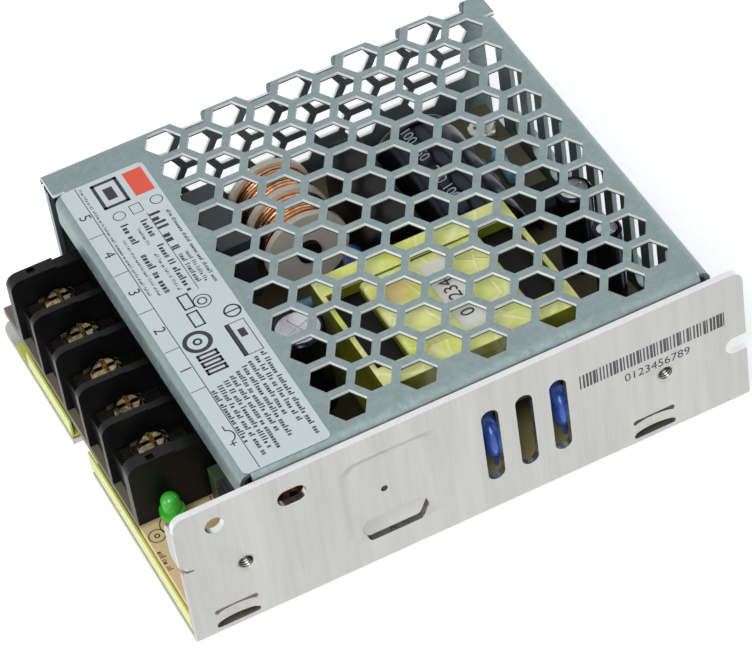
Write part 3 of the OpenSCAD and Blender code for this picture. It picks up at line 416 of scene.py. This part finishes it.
def creased_tape(name, base, dark, folds, depth, stain=None):
    """Glossy yellow tape with pale folds, which are painted highlight, and sides darkened where the surface
    turns away from up, which is painted shade; a stain is a warm spot (x, y, radius, colour).
    """
    material = new_material(name, base, 0.3, Coat_Weight=0.35, Coat_Roughness=0.15)
    tree, shader = parts_of(material)
    creases = placed(tree, CREASES, {"Vector": object_place(tree), "Folds per metre": folds})
    patch = noise(tree, object_place(tree), 260.0, 2.0)
    shade = blend(tree, remap(tree, patch, 0.35, 0.65), dark, base)
    # painted highlight: the crease tone lifts the folds toward pale yellow
    shade = blend(tree, calc(tree, "MULTIPLY", creases["Tone"], 0.9), shade, colour(255, 255, 206))
    # painted shade: the sides darken where the surface turns away from up
    facing = axes(tree, add(tree, "ShaderNodeNewGeometry").outputs["Normal"])["Z"]
    shade = blend(tree, remap(tree, facing, 0.1, 0.75), scaled(dark, 0.3), shade)
    if stain:
        x, y, radius, tint = stain
        place = axes(tree)
        dx = calc(tree, "POWER", calc(tree, "SUBTRACT", place["X"], x), 2.0)
        dy = calc(tree, "POWER", calc(tree, "SUBTRACT", place["Y"], y), 2.0)
        away = calc(tree, "SQRT", calc(tree, "ADD", dx, dy))
        shade = blend(tree, remap(tree, away, radius * 0.4, radius, 0.75, 0.0), shade, tint)
    tree.links.new(shade, shader.inputs["Base Color"])
    raise_surface(material, creases["Height"], depth)
    return material


def board_laminate():
    """Tan laminate by the lamp, greyer at the terminals, and dark olive inside the case: the grey is
    painted shade under the terminal block, and the olive is painted shade of the parts inside the case,
    made lighter next to the near edge of the board as painted light.
    """
    material = grained("board_laminate", colour(214, 190, 142), 0.5, 2200.0, 0.004 * MM, 0.07)
    tree, shader = parts_of(material)
    place = axes(tree)
    tan = shader.inputs["Base Color"].links[0].from_socket
    # painted shade inside the case, behind the terminal block
    inside_case_shade_mask = remap(tree, place["X"], (BLOCK_HIGH[0] - 1.0) * MM, (BLOCK_HIGH[0] + 1.0) * MM)
    # painted shade under the terminal block: grey-brown in place of tan
    along = remap(tree, place["Y"], (BLOCK_LOW[1] - 1.0) * MM, (BLOCK_LOW[1] + 0.5) * MM)
    shade = blend(tree, along, tan, colour(104, 98, 82))
    # painted light next to the near edge of the board, darker painted shade further in
    deeper_shade_mask = remap(tree, place["Y"], (BOARD_LOW[1] + 6.0) * MM, (BOARD_LOW[1] + 12.0) * MM)
    painted_inner_shade = blend(tree, deeper_shade_mask, colour(146, 138, 92), colour(72, 68, 44))
    tree.links.new(blend(tree, inside_case_shade_mask, shade, painted_inner_shade), shader.inputs["Base Color"])
    return material


MATERIALS = {
    "aluminium": aluminium_sheet(),
    # cut faces and rounded edges of the near wall: lighter than the sheet, partly bare cut metal and partly
    # painted highlight along the edges
    "cut_aluminium_and_painted_highlight": drawn_metal("cut_aluminium_and_painted_highlight", colour(226, 226, 226), 0.3, (1, 1, 1), 3000.0,
                                 0.003 * MM, 0.05),
    "zinc": zinc_sheet(),
    # cut faces and rounded edges of the cover, with painted highlight near the top
    "cut_zinc_and_painted_glint": cut_edge(),
    "label": grained("label_film", colour(198, 209, 212), 0.42, 1800.0, 0.002 * MM, 0.02),
    "ink": grained("label_ink", colour(34, 36, 42), 0.5, 3000.0, 0.001 * MM, 0.1),
    "red_ink": grained("red_ink", colour(222, 84, 62), 0.5, 1200.0, 0.001 * MM, 0.04),
    "film": grained("yellow_film", colour(198, 204, 92), 0.3, 500.0, 0.01 * MM, 0.07, Coat_Weight=0.3),
    "board": board_laminate(),
    "board_ink": grained("board_ink", colour(72, 60, 40), 0.6, 3000.0, 0.001 * MM, 0.1),
    "black": grained("black_plastic", colour(10, 11, 13), 0.36, 3200.0, 0.012 * MM, 0.25, 0.06,
                     Specular_IOR_Level=0.22),
    # the dark base is painted shade of the cells round the screws; the strong tone noise is painted glints
    "nickel": drawn_metal("nickel_screw", colour(120, 108, 84), 0.16, (1, 1, 1), 1300.0, 0.04 * MM, 0.95),
    "washer": drawn_metal("nickel_washer", colour(104, 98, 84), 0.24, (1, 0.2, 1), 2500.0, 0.01 * MM, 0.5),
    "tin": drawn_metal("tinned_brass", colour(104, 100, 90), 0.28, (0.2, 1, 1), 2500.0, 0.006 * MM, 0.3),
    "plated": drawn_metal("plated_steel", colour(205, 203, 192), 0.3, (1, 1, 1), 1800.0, 0.008 * MM, 0.1),
    "thread": drawn_metal("cut_thread", colour(128, 127, 122), 0.25, (1, 1, 1), 700.0, 0.004 * MM, 0.7),
    "lead": drawn_metal("lead_metal", colour(196, 196, 196), 0.32, (1, 1, 0.2), 2500.0, 0.004 * MM, 0.1),
    "lens": grained("green_lens", colour(70, 196, 62), 0.12, 700.0, 0.002 * MM, 0.08,
                    Transmission_Weight=0.3, IOR=1.5),
    "trimmer": grained("trimmer_plastic", colour(52, 68, 48), 0.42, 3000.0, 0.008 * MM, 0.1),
    "knob": grained("knob_plastic", colour(38, 38, 40), 0.4, 3000.0, 0.008 * MM, 0.15),
    "ferrite": grained("ferrite", colour(15, 14, 15), 0.55, 1800.0, 0.03 * MM, 0.2,
                       Specular_IOR_Level=0.2),
    "phenolic": grained("phenolic", colour(15, 14, 13), 0.45, 2200.0, 0.015 * MM, 0.15,
                        Specular_IOR_Level=0.2),
    "winding_tape": creased_tape("winding_tape", colour(236, 242, 116), colour(198, 208, 60),
                                 170.0, 0.8 * MM,
                                 stain=(1.9 * MM, -12.2 * MM, 4.2 * MM, colour(224, 190, 128))),
    "frame_tape": creased_tape("yellow_tape", colour(234, 240, 106), colour(198, 208, 62), 130.0, 0.5 * MM),
    "ivory": grained("ivory_plastic", colour(224, 216, 200), 0.4, 1500.0, 0.01 * MM, 0.05),
    "wire": wound_wire(),
    "copper": drawn_metal("copper_wire", colour(214, 138, 92), 0.26, (1, 1, 1), 900.0, 0.004 * MM, 0.16),
    # the bluish specular tint is painted reflection of a bluish surround
    "sleeve": grained("capacitor_sleeve", colour(8, 9, 12), 0.2, 900.0, 0.006 * MM, 0.15, 0.04,
                      Specular_IOR_Level=0.4, Specular_Tint=colour(196, 216, 255)),
    "can": drawn_metal("capacitor_can", colour(214, 216, 220), 0.34, (1, 0.08, 1), 3200.0, 0.006 * MM, 0.1),
    "slate": grained("slate_plastic", colour(54, 64, 70), 0.45, 2600.0, 0.01 * MM, 0.08),
    "gloss": grained("black_gloss", colour(12, 12, 14), 0.22, 1500.0, 0.006 * MM, 0.12,
                     Specular_IOR_Level=0.25),
    "blue": grained("blue_coating", colour(38, 84, 176), 0.25, 900.0, 0.02 * MM, 0.12, Coat_Weight=0.4),
    "core_paint": grained("core_paint", colour(206, 186, 60), 0.4, 1200.0, 0.01 * MM, 0.08),
    "epoxy": grained("moulded_epoxy", colour(15, 15, 17), 0.48, 2600.0, 0.01 * MM, 0.12,
                     Specular_IOR_Level=0.2),
    "pad": grained("silicone_pad", colour(176, 180, 184), 0.6, 1800.0, 0.01 * MM, 0.05),
    "white": grained("white_epoxy", colour(226, 226, 220), 0.45, 1800.0, 0.01 * MM, 0.04),
    "fuse": grained("fuse_plastic", colour(96, 62, 42), 0.4, 1500.0, 0.01 * MM, 0.1),
    "dark_coating": grained("dark_coating", colour(52, 60, 44), 0.4, 1200.0, 0.02 * MM, 0.12),
    "varistor": grained("varistor_coating", colour(34, 46, 96), 0.35, 1200.0, 0.02 * MM, 0.12),
    "resistor": grained("resistor_coating", colour(112, 164, 192), 0.35, 1500.0, 0.01 * MM, 0.08),
    "pale_ink": grained("pale_ink", colour(176, 182, 188), 0.5, 1500.0, 0.001 * MM, 0.05),
    "strip": grained("paper_strip", colour(226, 226, 218), 0.6, 1500.0, 0.003 * MM, 0.04),
}


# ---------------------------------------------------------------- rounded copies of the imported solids

def body_of_node(node):
    """Name of the body that carries a node."""
    parent = frame["nodes"][node].parent
    return [name for name, empty in frame["bodies"].items() if empty == parent][0]


def in_cut(mesh, sheets):
    """True for the faces cut through a sheet: inside its slab, given as (axis, low, high) in
    millimetres, and not turned along its axis."""
    count = len(mesh.polygons)
    centres, normals = np.zeros(count * 3), np.zeros(count * 3)
    mesh.polygons.foreach_get("center", centres)
    mesh.polygons.foreach_get("normal", normals)
    centres, normals = centres.reshape(-1, 3) / MM, normals.reshape(-1, 3)
    found = np.zeros(count, bool)
    for axis, low, high in sheets:
        inside = (centres[:, axis] > low) & (centres[:, axis] < high)
        found |= inside & (np.abs(normals[:, axis]) < 0.3)
    return found


def rounded(node, material, width, sink=None, cut=None, sheets=()):
    """Copy of a node with merged corners and rounded edges, which stands in for it. Sink is
    (axis, side, depth) and moves one outer face in by a hair, for print to lie on. Cut is the
    material of the rounded edges and of the faces cut through the given sheets."""
    sharp = math.radians(35)
    work = bmesh.new()
    work.from_mesh(frame["nodes"][node].data)
    bmesh.ops.remove_doubles(work, verts=work.verts, dist=0.002 * MM)
    bmesh.ops.dissolve_degenerate(work, dist=0.001 * MM, edges=work.edges)
    bmesh.ops.dissolve_limit(work, angle_limit=math.radians(0.5), verts=work.verts, edges=work.edges)
    if sink:
        axis, side, depth = sink
        outer = max(v.co[axis] * side for v in work.verts)
        for vert in work.verts:
            if vert.co[axis] * side > outer - 0.01 * MM:
                vert.co[axis] -= side * depth * MM
    mesh = bpy.data.meshes.new(node + "_finished")
    work.to_mesh(mesh)
    work.free()
    if "custom_normal" in mesh.attributes:
        mesh.attributes.remove(mesh.attributes["custom_normal"])
    piece = bpy.data.objects.new(node + "_finished", mesh)
    bpy.context.scene.collection.objects.link(piece)
    mesh.materials.clear()
    mesh.materials.append(MATERIALS[material])
    if cut:
        mesh.materials.append(MATERIALS[cut])
        mesh.polygons.foreach_set("material_index", in_cut(mesh, sheets).astype(np.int32))
    mesh.polygons.foreach_set("use_smooth", np.ones(len(mesh.polygons), bool))
    mesh.set_sharp_from_angle(angle=sharp)
    if width:
        bevel = piece.modifiers.new("edge_rounding", "BEVEL")
        bevel.width = width * MM
        bevel.segments = 2
        bevel.limit_method = "ANGLE"
        bevel.angle_limit = sharp
        bevel.use_clamp_overlap = True
        bevel.harden_normals = True
        bevel.material = 1 if cut else -1
    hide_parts(node)
    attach(piece, body_of_node(node))


# ---------------------------------------------------------------- new surfaces

def surface(name, points, faces, material, smooth=False):
    """A piece of the housing from points (in millimetres) and faces (lists of point numbers)."""
    mesh = bpy.data.meshes.new(name)
    mesh.from_pydata((points * MM).tolist(), [], faces)
    mesh.materials.append(MATERIALS[material])
    if smooth:
        mesh.polygons.foreach_set("use_smooth", np.ones(len(mesh.polygons), bool))
    mesh.update()
    piece = bpy.data.objects.new(name, mesh)
    bpy.context.scene.collection.objects.link(piece)
    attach(piece, "housing")


def grid_faces(rows, columns, closed=False):
    """Quads of a grid of points; closed joins the last column to the first."""
    last = columns if closed else columns - 1
    row, column = np.meshgrid(np.arange(rows - 1), np.arange(last), indexing="ij")
    after = (column + 1) % columns
    here, above = row * columns, (row + 1) * columns
    corners = [here + column, here + after, above + after, above + column]
    return np.stack([c.ravel() for c in corners], 1).tolist()


def joined(parts):
    """Points and faces of several (points, faces) as one."""
    points, faces = [], []
    count = 0
    for more, more_faces in parts:
        points.append(more)
        faces += [[i + count for i in face] for face in more_faces]
        count += len(more)
    return np.concatenate(points), faces


def boxes(rows):
    """Corners (n, 4, 2) of rectangles given as rows of x0, y0, x1, y1."""
    x0, y0, x1, y1 = np.array(rows, float).T
    corners = [(x0, y0), (x1, y0), (x1, y1), (x0, y1)]
    return np.stack([np.stack(corner, 1) for corner in corners], 1)


def ring(x, y, radius, width, start=0.0, end=360.0, steps=32):
    """Quads of a ring: points at radius and radius - width, at angles from start to end."""
    angles = np.radians(np.linspace(start, end, steps + 1))
    way = np.stack([np.cos(angles), np.sin(angles)], 1)
    outer, inner = [x, y] + way * radius, [x, y] + way * (radius - width)
    return np.stack([inner[:-1], outer[:-1], outer[1:], inner[1:]], 1)


def frame_lines(x0, y0, x1, y1, width):
    """Four thin boxes along the edges of a rectangle."""
    low_side, high_side = [x0, y0, x1, y0 + width], [x0, y1 - width, x1, y1]
    return boxes([low_side, high_side, [x0, y0, x0 + width, y1], [x1 - width, y0, x1, y1]])


def written_row(x, y_from, y_to, height, seed, weight):
    """A line of plain marks that runs towards -Y, with the grey of print and no letters in it; x is
    its middle, and weight thickens the bars. A run is 2 to 9 marks long; each mark is a tall bar, a
    low block or two low bars, picked at random."""
    pick = np.random.RandomState(seed)
    pitch = height * 0.62
    stem = height * 0.17 * weight
    low = x - height / 2
    out = []
    y = y_from
    while y > y_to + pitch:
        for _ in range(pick.randint(2, 10)):
            if y < y_to + pitch:
                break
            kind = pick.randint(3)
            if kind == 0:
                out.append([low, y - stem * 1.2, low + height, y])
            if kind == 1:
                out.append([low, y - pitch * 0.72, low + height * 0.6, y])
            if kind == 2:
                out.append([low, y - stem * 0.8, low + height * 0.7, y])
                out.append([low, y - pitch * 0.75, low + height * 0.7, y - pitch * 0.75 + stem * 0.8])
            y -= pitch
        y -= pitch * 0.8
    return boxes(out)


def figures(text, x, y, size, turn):
    """Points (n, 2) and faces of plain figures centred on x, y, turned about Z; size is their height."""
    data = bpy.data.curves.new("figures", "FONT")
    data.body = text
    font_size_by_height = 1.4
    data.size = size * font_size_by_height
    data.align_x = "CENTER"
    data.align_y = "CENTER"
    data.resolution_u = 4
    holder = bpy.data.objects.new("figures", data)
    bpy.context.scene.collection.objects.link(holder)
    mesh = bpy.data.meshes.new_from_object(holder.evaluated_get(bpy.context.evaluated_depsgraph_get()))
    flat = np.zeros(len(mesh.vertices) * 3)
    mesh.vertices.foreach_get("co", flat)
    flat = flat.reshape(-1, 3)[:, :2]
    faces = [list(p.vertices) for p in mesh.polygons]
    bpy.data.objects.remove(holder)
    bpy.data.curves.remove(data)
    bpy.data.meshes.remove(mesh)
    angle = math.radians(turn)
    spin = np.array([[math.cos(angle), math.sin(angle)], [-math.sin(angle), math.cos(angle)]])
    return flat @ spin + [x, y], faces


def printed(name, quads, numbers, z, material):
    """Flat print at one height: quads (n, 4, 2), and numbers as (points, faces)."""
    corners = np.concatenate(quads + [np.zeros((0, 4, 2))]).reshape(-1, 2)
    quad_faces = np.arange(len(corners)).reshape(-1, 4).tolist()
    flat, faces = joined([(corners, quad_faces)] + numbers)
    surface(name, np.column_stack([flat, np.full(len(flat), z)]), faces, material)


def wall_figures():
    """A row of plain figures under the bar pattern. A point (u, v) of the flat text goes to
    (u, wall face, v)."""
    flat, faces = figures("0123456789", BARS_X.mean() + 0.7, BARS_Z[0] - 2.0, 1.7, 0)
    face_y = np.full(len(flat), CASE_LOW[1] + 0.006)
    surface("wall_figures", np.column_stack([flat[:, 0], face_y, flat[:, 1]]), faces, "ink")


def label_cells(edge, rule_x):
    """Rules of the terminal cells along the front edge of the label, and a plain figure in each."""
    ways = [screw[1] for screw in SCREWS]
    pitch = ways[1] - ways[0]
    cells = [ways[0] - pitch * 0.65 + i * pitch * 1.06 for i in range(5)]
    rules = [boxes([[rule_x - 0.07, LABEL_LOW[1] + 0.15, rule_x + 0.07, LABEL_HIGH[1] - 0.15]])]
    rules.append(boxes([[edge + 0.1, y - 0.07, rule_x, y + 0.07] for y in cells]))
    numbers = [figures(str(i + 1), edge + 1.4, y + pitch * 0.53, 2.0, -90) for i, y in enumerate(cells)]
    return rules, numbers


def label_turn_mark(edge):
    """Arc with a plus and a minus beside the trimmer."""
    arc = ring(edge + 0.9, -30.2, 1.5, 0.22, -70, 70, 16)
    plus = boxes([[edge + 1.2, -32.6, edge + 1.4, -31.4], [edge + 0.7, -32.1, edge + 1.9, -31.9]])
    minus = boxes([[edge + 1.2, -29.0, edge + 1.4, -27.8]])
    return [arc, plus, minus]


def label_rows(top):
    """Rows of marks, each given as: distance from the rear edge, start y, end y, height, weight."""
    rows = [
        (3.2, 21.6, 11.0, 1.9, 1.5),
        (3.4, 10.4, 2.4, 0.9, 1.2),
        (2.3, 10.4, 2.4, 0.7, 1.2),
        (1.0, 20.9, 1.2, 0.7, 1.3),
        (5.4, 20.9, 16.4, 1.2, 1.5),
        (5.4, 14.2, 1.6, 1.15, 1.5),
        (6.9, 19.4, 14.8, 0.6, 1.0),
        (6.9, 12.6, 2.6, 0.62, 1.0),
        (8.6, 21.6, 15.4, 1.3, 1.5),
        (8.6, 13.4, 2.6, 1.3, 1.5),
        (10.1, 18.2, 3.2, 0.55, 1.0),
        (11.5, 33.2, 4.0, 0.55, 1.0),
    ]
    # a block of nine rows, each starting a little further along than the one before
    block_ends = [-37.4, -33.8, -31.2, -36.2, -33.6, -37.6, -36.4, -37.2, -33.0]
    rows += [(1.4 + i * 1.27, -16.6 - 0.45 * i, end, 0.92, 1.5) for i, end in enumerate(block_ends)]
    first_seed = 3
    return [written_row(top - away, y0, y1, height, first_seed + i, weight)
            for i, (away, y0, y1, height, weight) in enumerate(rows)]


def label_shapes(top):
    """Plain rings, boxes and a rule between the rows of marks."""
    shapes = [boxes([[top - 4.3, 1.5, top - 4.18, 22.2]])]
    # rings: distance from the rear edge, y, radius, line width
    rings = [
        (4.9, -1.3, 1.55, 0.2), (4.9, -1.3, 0.85, 0.25), (1.7, -5.9, 1.5, 0.32), (9.3, -9.2, 2.45, 0.75),
        (9.3, -9.2, 0.8, 0.4), (1.6, 24.2, 1.1, 0.16), (8.4, 23.9, 1.1, 0.16)]
    for away, y, radius, width in rings:
        shapes.append(ring(top - away, y, radius, width))
    # open boxes, by two opposite corners (distance from the rear edge, y), and their line width
    open_boxes = [
        (4.3, -16.2, 0.9, -8.3, 0.14), (8.2, -1.9, 6.2, 1.7, 0.3), (8.4, -6.3, 6.4, -2.6, 0.3),
        (9.9, 26.4, 5.2, 33.0, 0.6), (6.3, 22.9, 4.3, 25.2, 0.14)]
    open_boxes += [(10.9, -13.4 - i * 1.75, 7.3, -12.0 - i * 1.75, 0.45) for i in range(3)]
    for x0, y0, x1, y1, width in open_boxes:
        shapes.append(frame_lines(top - x0, y0, top - x1, y1, width))
    # filled boxes, by two opposite corners
    filled = [
        (3.1, -6.05, 0.3, -5.75), (4.3, -16.2, 3.5, -8.3), (2.9, -12.1, 1.7, -10.2), (8.4, 28.2, 6.7, 31.2)]
    shapes.append(boxes([[top - x0, y0, top - x1, y1] for x0, y0, x1, y1 in filled]))
    return shapes


def label_print():
    """Print of the label: terminal cells, turning mark, rows of marks, plain shapes and a red block."""
    z = LABEL_HIGH[2] - 0.004
    edge, top = LABEL_LOW[0], LABEL_HIGH[0]
    rules, numbers = label_cells(edge, edge + 2.7)
    quads = rules + label_turn_mark(edge) + label_rows(top) + label_shapes(top)
    printed("label_print", quads, numbers, z, "ink")
    printed("label_red_block", [boxes([[top - 4.1, 26.7, top - 0.7, 32.9]])], [], z, "red_ink")


def board_print():
    """Marks on the board: rings and rows of marks at the corner by the lamp, outlines round the parts."""
    lens_low, lens_high = span("lamp_lens")
    x, y = (lens_low[:2] + lens_high[:2]) / 2
    quads = [ring(x - 3.6, y - 1.0, 1.45, 0.2), ring(x - 3.6, y - 1.0, 0.5, 0.25), ring(x, y, 2.6, 0.2)]
    quads.append(written_row(x - 4.6, y - 4.2, y - 9.5, 1.0, 90, 1.1))
    quads.append(written_row(x - 2.6, y - 6.6, y - 13.0, 1.0, 91, 1.1))
    quads.append(ring(x - 3.4, y - 15.2, 1.1, 0.2))
    room = 0.5
    for node in ("line_capacitor", "film_capacitor", "fuse", "trimmer_body"):
        low, high = span(node)
        quads.append(frame_lines(low[0] - room, low[1] - room, high[0] + room, high[1] + room, 0.2))
    low, high = span("inductor_winding")
    centre = (low + high) / 2
    quads.append(ring(centre[0], centre[1], high[1] - centre[1] + 0.6, 0.2))
    printed("board_print", quads, [], BOARD_HIGH[2] + 0.012, "board_ink")


def transformer_strip():
    """Plain paper strip on the winding, with a row of plain figures. Its height over the tape is a
    ripple along Y, sin squared, that fades to both long edges, by a cosine across."""
    z = WINDING_HIGH[2] + 0.06
    ripple = 0.12
    x0, x1, y0, y1 = 7.9, 12.6, -26.6, -9.2
    rows, columns = 24, 8
    v, u = np.meshgrid(np.linspace(y0, y1, rows), np.linspace(x0, x1, columns), indexing="ij")
    lift = ripple * np.sin((v - y0) * 0.55) ** 2 * np.cos((u - x0) / (x1 - x0) * 2.4 - 1.2)
    points = np.stack([u, v, z + lift], -1).reshape(-1, 3)
    surface("transformer_strip", points, grid_faces(rows, columns), "strip", smooth=True)
    numbers = [figures("01 2345", (x0 + x1) / 2, (y0 + y1) / 2, 2.4, 90)]
    printed("transformer_strip_print", [], numbers, z + ripple + 0.04, "ink")


def thread_liners():
    """Threads in the two side holes. The radius goes from crest to root by a triangle wave of
    (y / pitch + angle / turn); the rows follow the hole from its mouth to its end."""
    pitch, crest, root = 0.5, 1.04, 1.235
    mouth, end = 0.42, 2.75
    rows, columns = 46, 40
    y = np.linspace(mouth, end, rows)[:, None]
    angle = np.linspace(0, 2 * math.pi, columns, endpoint=False)[None, :]
    wave = np.abs(((y / pitch + angle / (2 * math.pi)) % 1.0) * 2 - 1)
    radius = crest + (root - crest) * wave
    radius[0, :] = radius[-1, :] = root
    centre = np.array(THREADS["pos_m"]) / MM
    for i, side in enumerate((-1, 1)):
        x = centre[0] + side * THREADS["dims"]["spacing_x_mm"] / 2
        points = np.stack([x + radius * np.cos(angle), CASE_LOW[1] + y + 0 * angle,
                           centre[2] + radius * np.sin(angle)], -1).reshape(-1, 3)
        surface("thread_%d" % (i + 1), points, grid_faces(rows, columns, True), "thread", smooth=True)


def capacitor_print():
    """Plain figures along the sleeve of the large capacitor. A point (s, t) of the flat print goes to
    (cx + r sin(t / r), end - s, cz + r cos(t / r)), with r just above the sleeve."""
    centre_x = (BULK_LOW[0] + BULK_HIGH[0]) / 2
    centre_z = (BULK_LOW[2] + BULK_HIGH[2]) / 2
    radius = (BULK_HIGH[2] - BULK_LOW[2]) / 2 + 0.08
    rows = []
    for start, text in ((6.5, "100 250"), (17.5, "250 100")):
        flat, faces = figures(text, 0, 0, 1.9, 0)
        along, around = flat[:, 0] + start, flat[:, 1] - 2.2
        points = np.stack([centre_x + radius * np.sin(around / radius), BULK_HIGH[1] - along,
                           centre_z + radius * np.cos(around / radius)], -1)
        rows.append((points, faces))
    surface("capacitor_print", *joined(rows), "pale_ink")


# ---------------------------------------------------------------- stage

def seen_directly(tree):
    """1 for rays from the camera, a mirror or glass."""
    path = add(tree, "ShaderNodeLightPath").outputs
    either = calc(tree, "MAXIMUM", path["Is Camera Ray"], path["Is Glossy Ray"])
    return calc(tree, "MAXIMUM", either, path["Is Transmission Ray"])


def make_world():
    """A neutral surround; the camera, mirrors and glass see it white."""
    world = bpy.data.worlds.new("surround")
    bpy.context.scene.world = world
    world.use_nodes = True
    tree = world.node_tree
    tree.nodes.clear()
    light = add(tree, "ShaderNodeBackground", {"Color": (0.95, 0.97, 1.0, 1), "Strength": 0.42})
    shown = add(tree, "ShaderNodeBackground", {"Color": (1, 1, 1, 1), "Strength": 1.0})
    inputs = {0: seen_directly(tree), 1: light.outputs[0], 2: shown.outputs[0]}
    both = add(tree, "ShaderNodeMixShader", inputs)
    out = add(tree, "ShaderNodeOutputWorld")
    tree.links.new(both.outputs[0], out.inputs["Surface"])


def make_stage():
    """A plain pale floor under the case; seen directly it is lifted to white where no shadow falls."""
    half = 1.6
    z = cad_box[0][2] - 0.02 * MM
    corners = [(-half, -half, z), (half, -half, z), (half, half, z), (-half, half, z)]
    mesh = bpy.data.meshes.new("floor")
    mesh.from_pydata(corners, [], [(0, 1, 2, 3)])
    floor = bpy.data.objects.new("floor", mesh)
    bpy.context.scene.collection.objects.link(floor)
    material = new_material("floor", (0.9, 0.9, 0.9, 1), 0.9)
    tree, shader = parts_of(material)
    shader.inputs["Specular IOR Level"].default_value = 0.0
    lift = add(tree, "ShaderNodeEmission", {"Color": (1, 1, 1, 1), "Strength": 0.42})
    lifted = add(tree, "ShaderNodeAddShader", {0: shader.outputs[0], 1: lift.outputs[0]})
    inputs = {0: seen_directly(tree), 1: shader.outputs[0], 2: lifted.outputs[0]}
    shown = add(tree, "ShaderNodeMixShader", inputs)
    tree.links.new(shown.outputs[0], tree.nodes["Material Output"].inputs["Surface"])
    mesh.materials.append(material)


# ---------------------------------------------------------------- assembly

# node: (material, edge rounding in millimetres)
ROUNDED = {
    "insulating_film": ("film", 0.06),
    "circuit_board": ("board", 0.08),
    "terminal_block": ("black", 0.22),
    "terminal_plates": ("tin", 0.1),
    "trimmer_body": ("trimmer", 0.15),
    "trimmer_knob": ("knob", 0.06),
    "transformer_core": ("ferrite", 0.15),
    "transformer_bobbin": ("phenolic", 0.15),
    "transformer_tape": ("frame_tape", 0.3),
    "transformer_winding": ("winding_tape", 0.3),
    "choke_bobbin": ("ivory", 0.15),
    "line_capacitor": ("slate", 0.25),
    "film_capacitor": ("gloss", 0.25),
    "bridge_rectifier": ("epoxy", 0.15),
    "power_devices": ("epoxy", 0.1),
    "thermal_pads": ("pad", 0.03),
    "optocoupler": ("white", 0.1),
    "control_chip": ("epoxy", 0.1),
    "fuse": ("fuse", 0.2),
    "output_capacitor_cans": ("can", 0.08),
    "output_capacitor_sleeves": ("sleeve", 0.12),
    "board_screws": ("plated", 0.06),
    "cover_screws": ("plated", 0.04),
    "board_standoffs": ("plated", 0.1),
    "lamp_leads": ("lead", 0.05),
    "inductor_winding": ("copper", 0.12),
    "inductor_core": ("core_paint", 0.2),
}
for way in range(1, 6):
    ROUNDED["terminal_washer_%d" % way] = ("washer", 0.07)
    ROUNDED["terminal_screw_%d" % way] = ("nickel", 0.1)

# round pieces without sharp edges: node: material
SMOOTH = {
    "lamp_lens": "lens",
    "choke_core": "ferrite",
    "choke_windings": "wire",
    "bulk_capacitor": "sleeve",
    "bulk_capacitor_end": "can",
    "disc_capacitors": "blue",
    "thermistor": "dark_coating",
    "varistor": "varistor",
    "resistors": "resistor",
}

for node, (material, width) in ROUNDED.items():
    rounded(node, material, width)
rounded("chassis", "aluminium", 0.12, sink=(1, -1, 0.012), cut="cut_aluminium_and_painted_highlight",
        sheets=[(1, CASE_LOW[1] - 0.1, CASE_LOW[1] + 1.6)])
rounded("cover", "zinc", 0.15, cut="cut_zinc_and_painted_glint", sheets=[
    (2, CASE_HIGH[2] - 1.1, CASE_HIGH[2]), (1, CASE_HIGH[1] - 1.1, CASE_HIGH[1])])
rounded("rating_label", "label", 0, sink=(2, 1, 0.015))
for node, material in SMOOTH.items():
    rounded(node, material, 0)

label_print()
wall_figures()
board_print()
transformer_strip()
thread_liners()
capacitor_print()

bpy.context.scene.view_settings.view_transform = "Standard"
place_camera()
make_world()
make_stage()
area_light("key", (-0.45, -0.6, 0.8), (0, 0, 0.01), 0.55, 6.5)
area_light("side", (0.9, 0.1, 0.5), (0, 0, 0.01), 0.5, 2)
area_light("front", (-0.8, -0.1, 0.25), (-0.04, 0, 0.02), 0.3, 1.6)
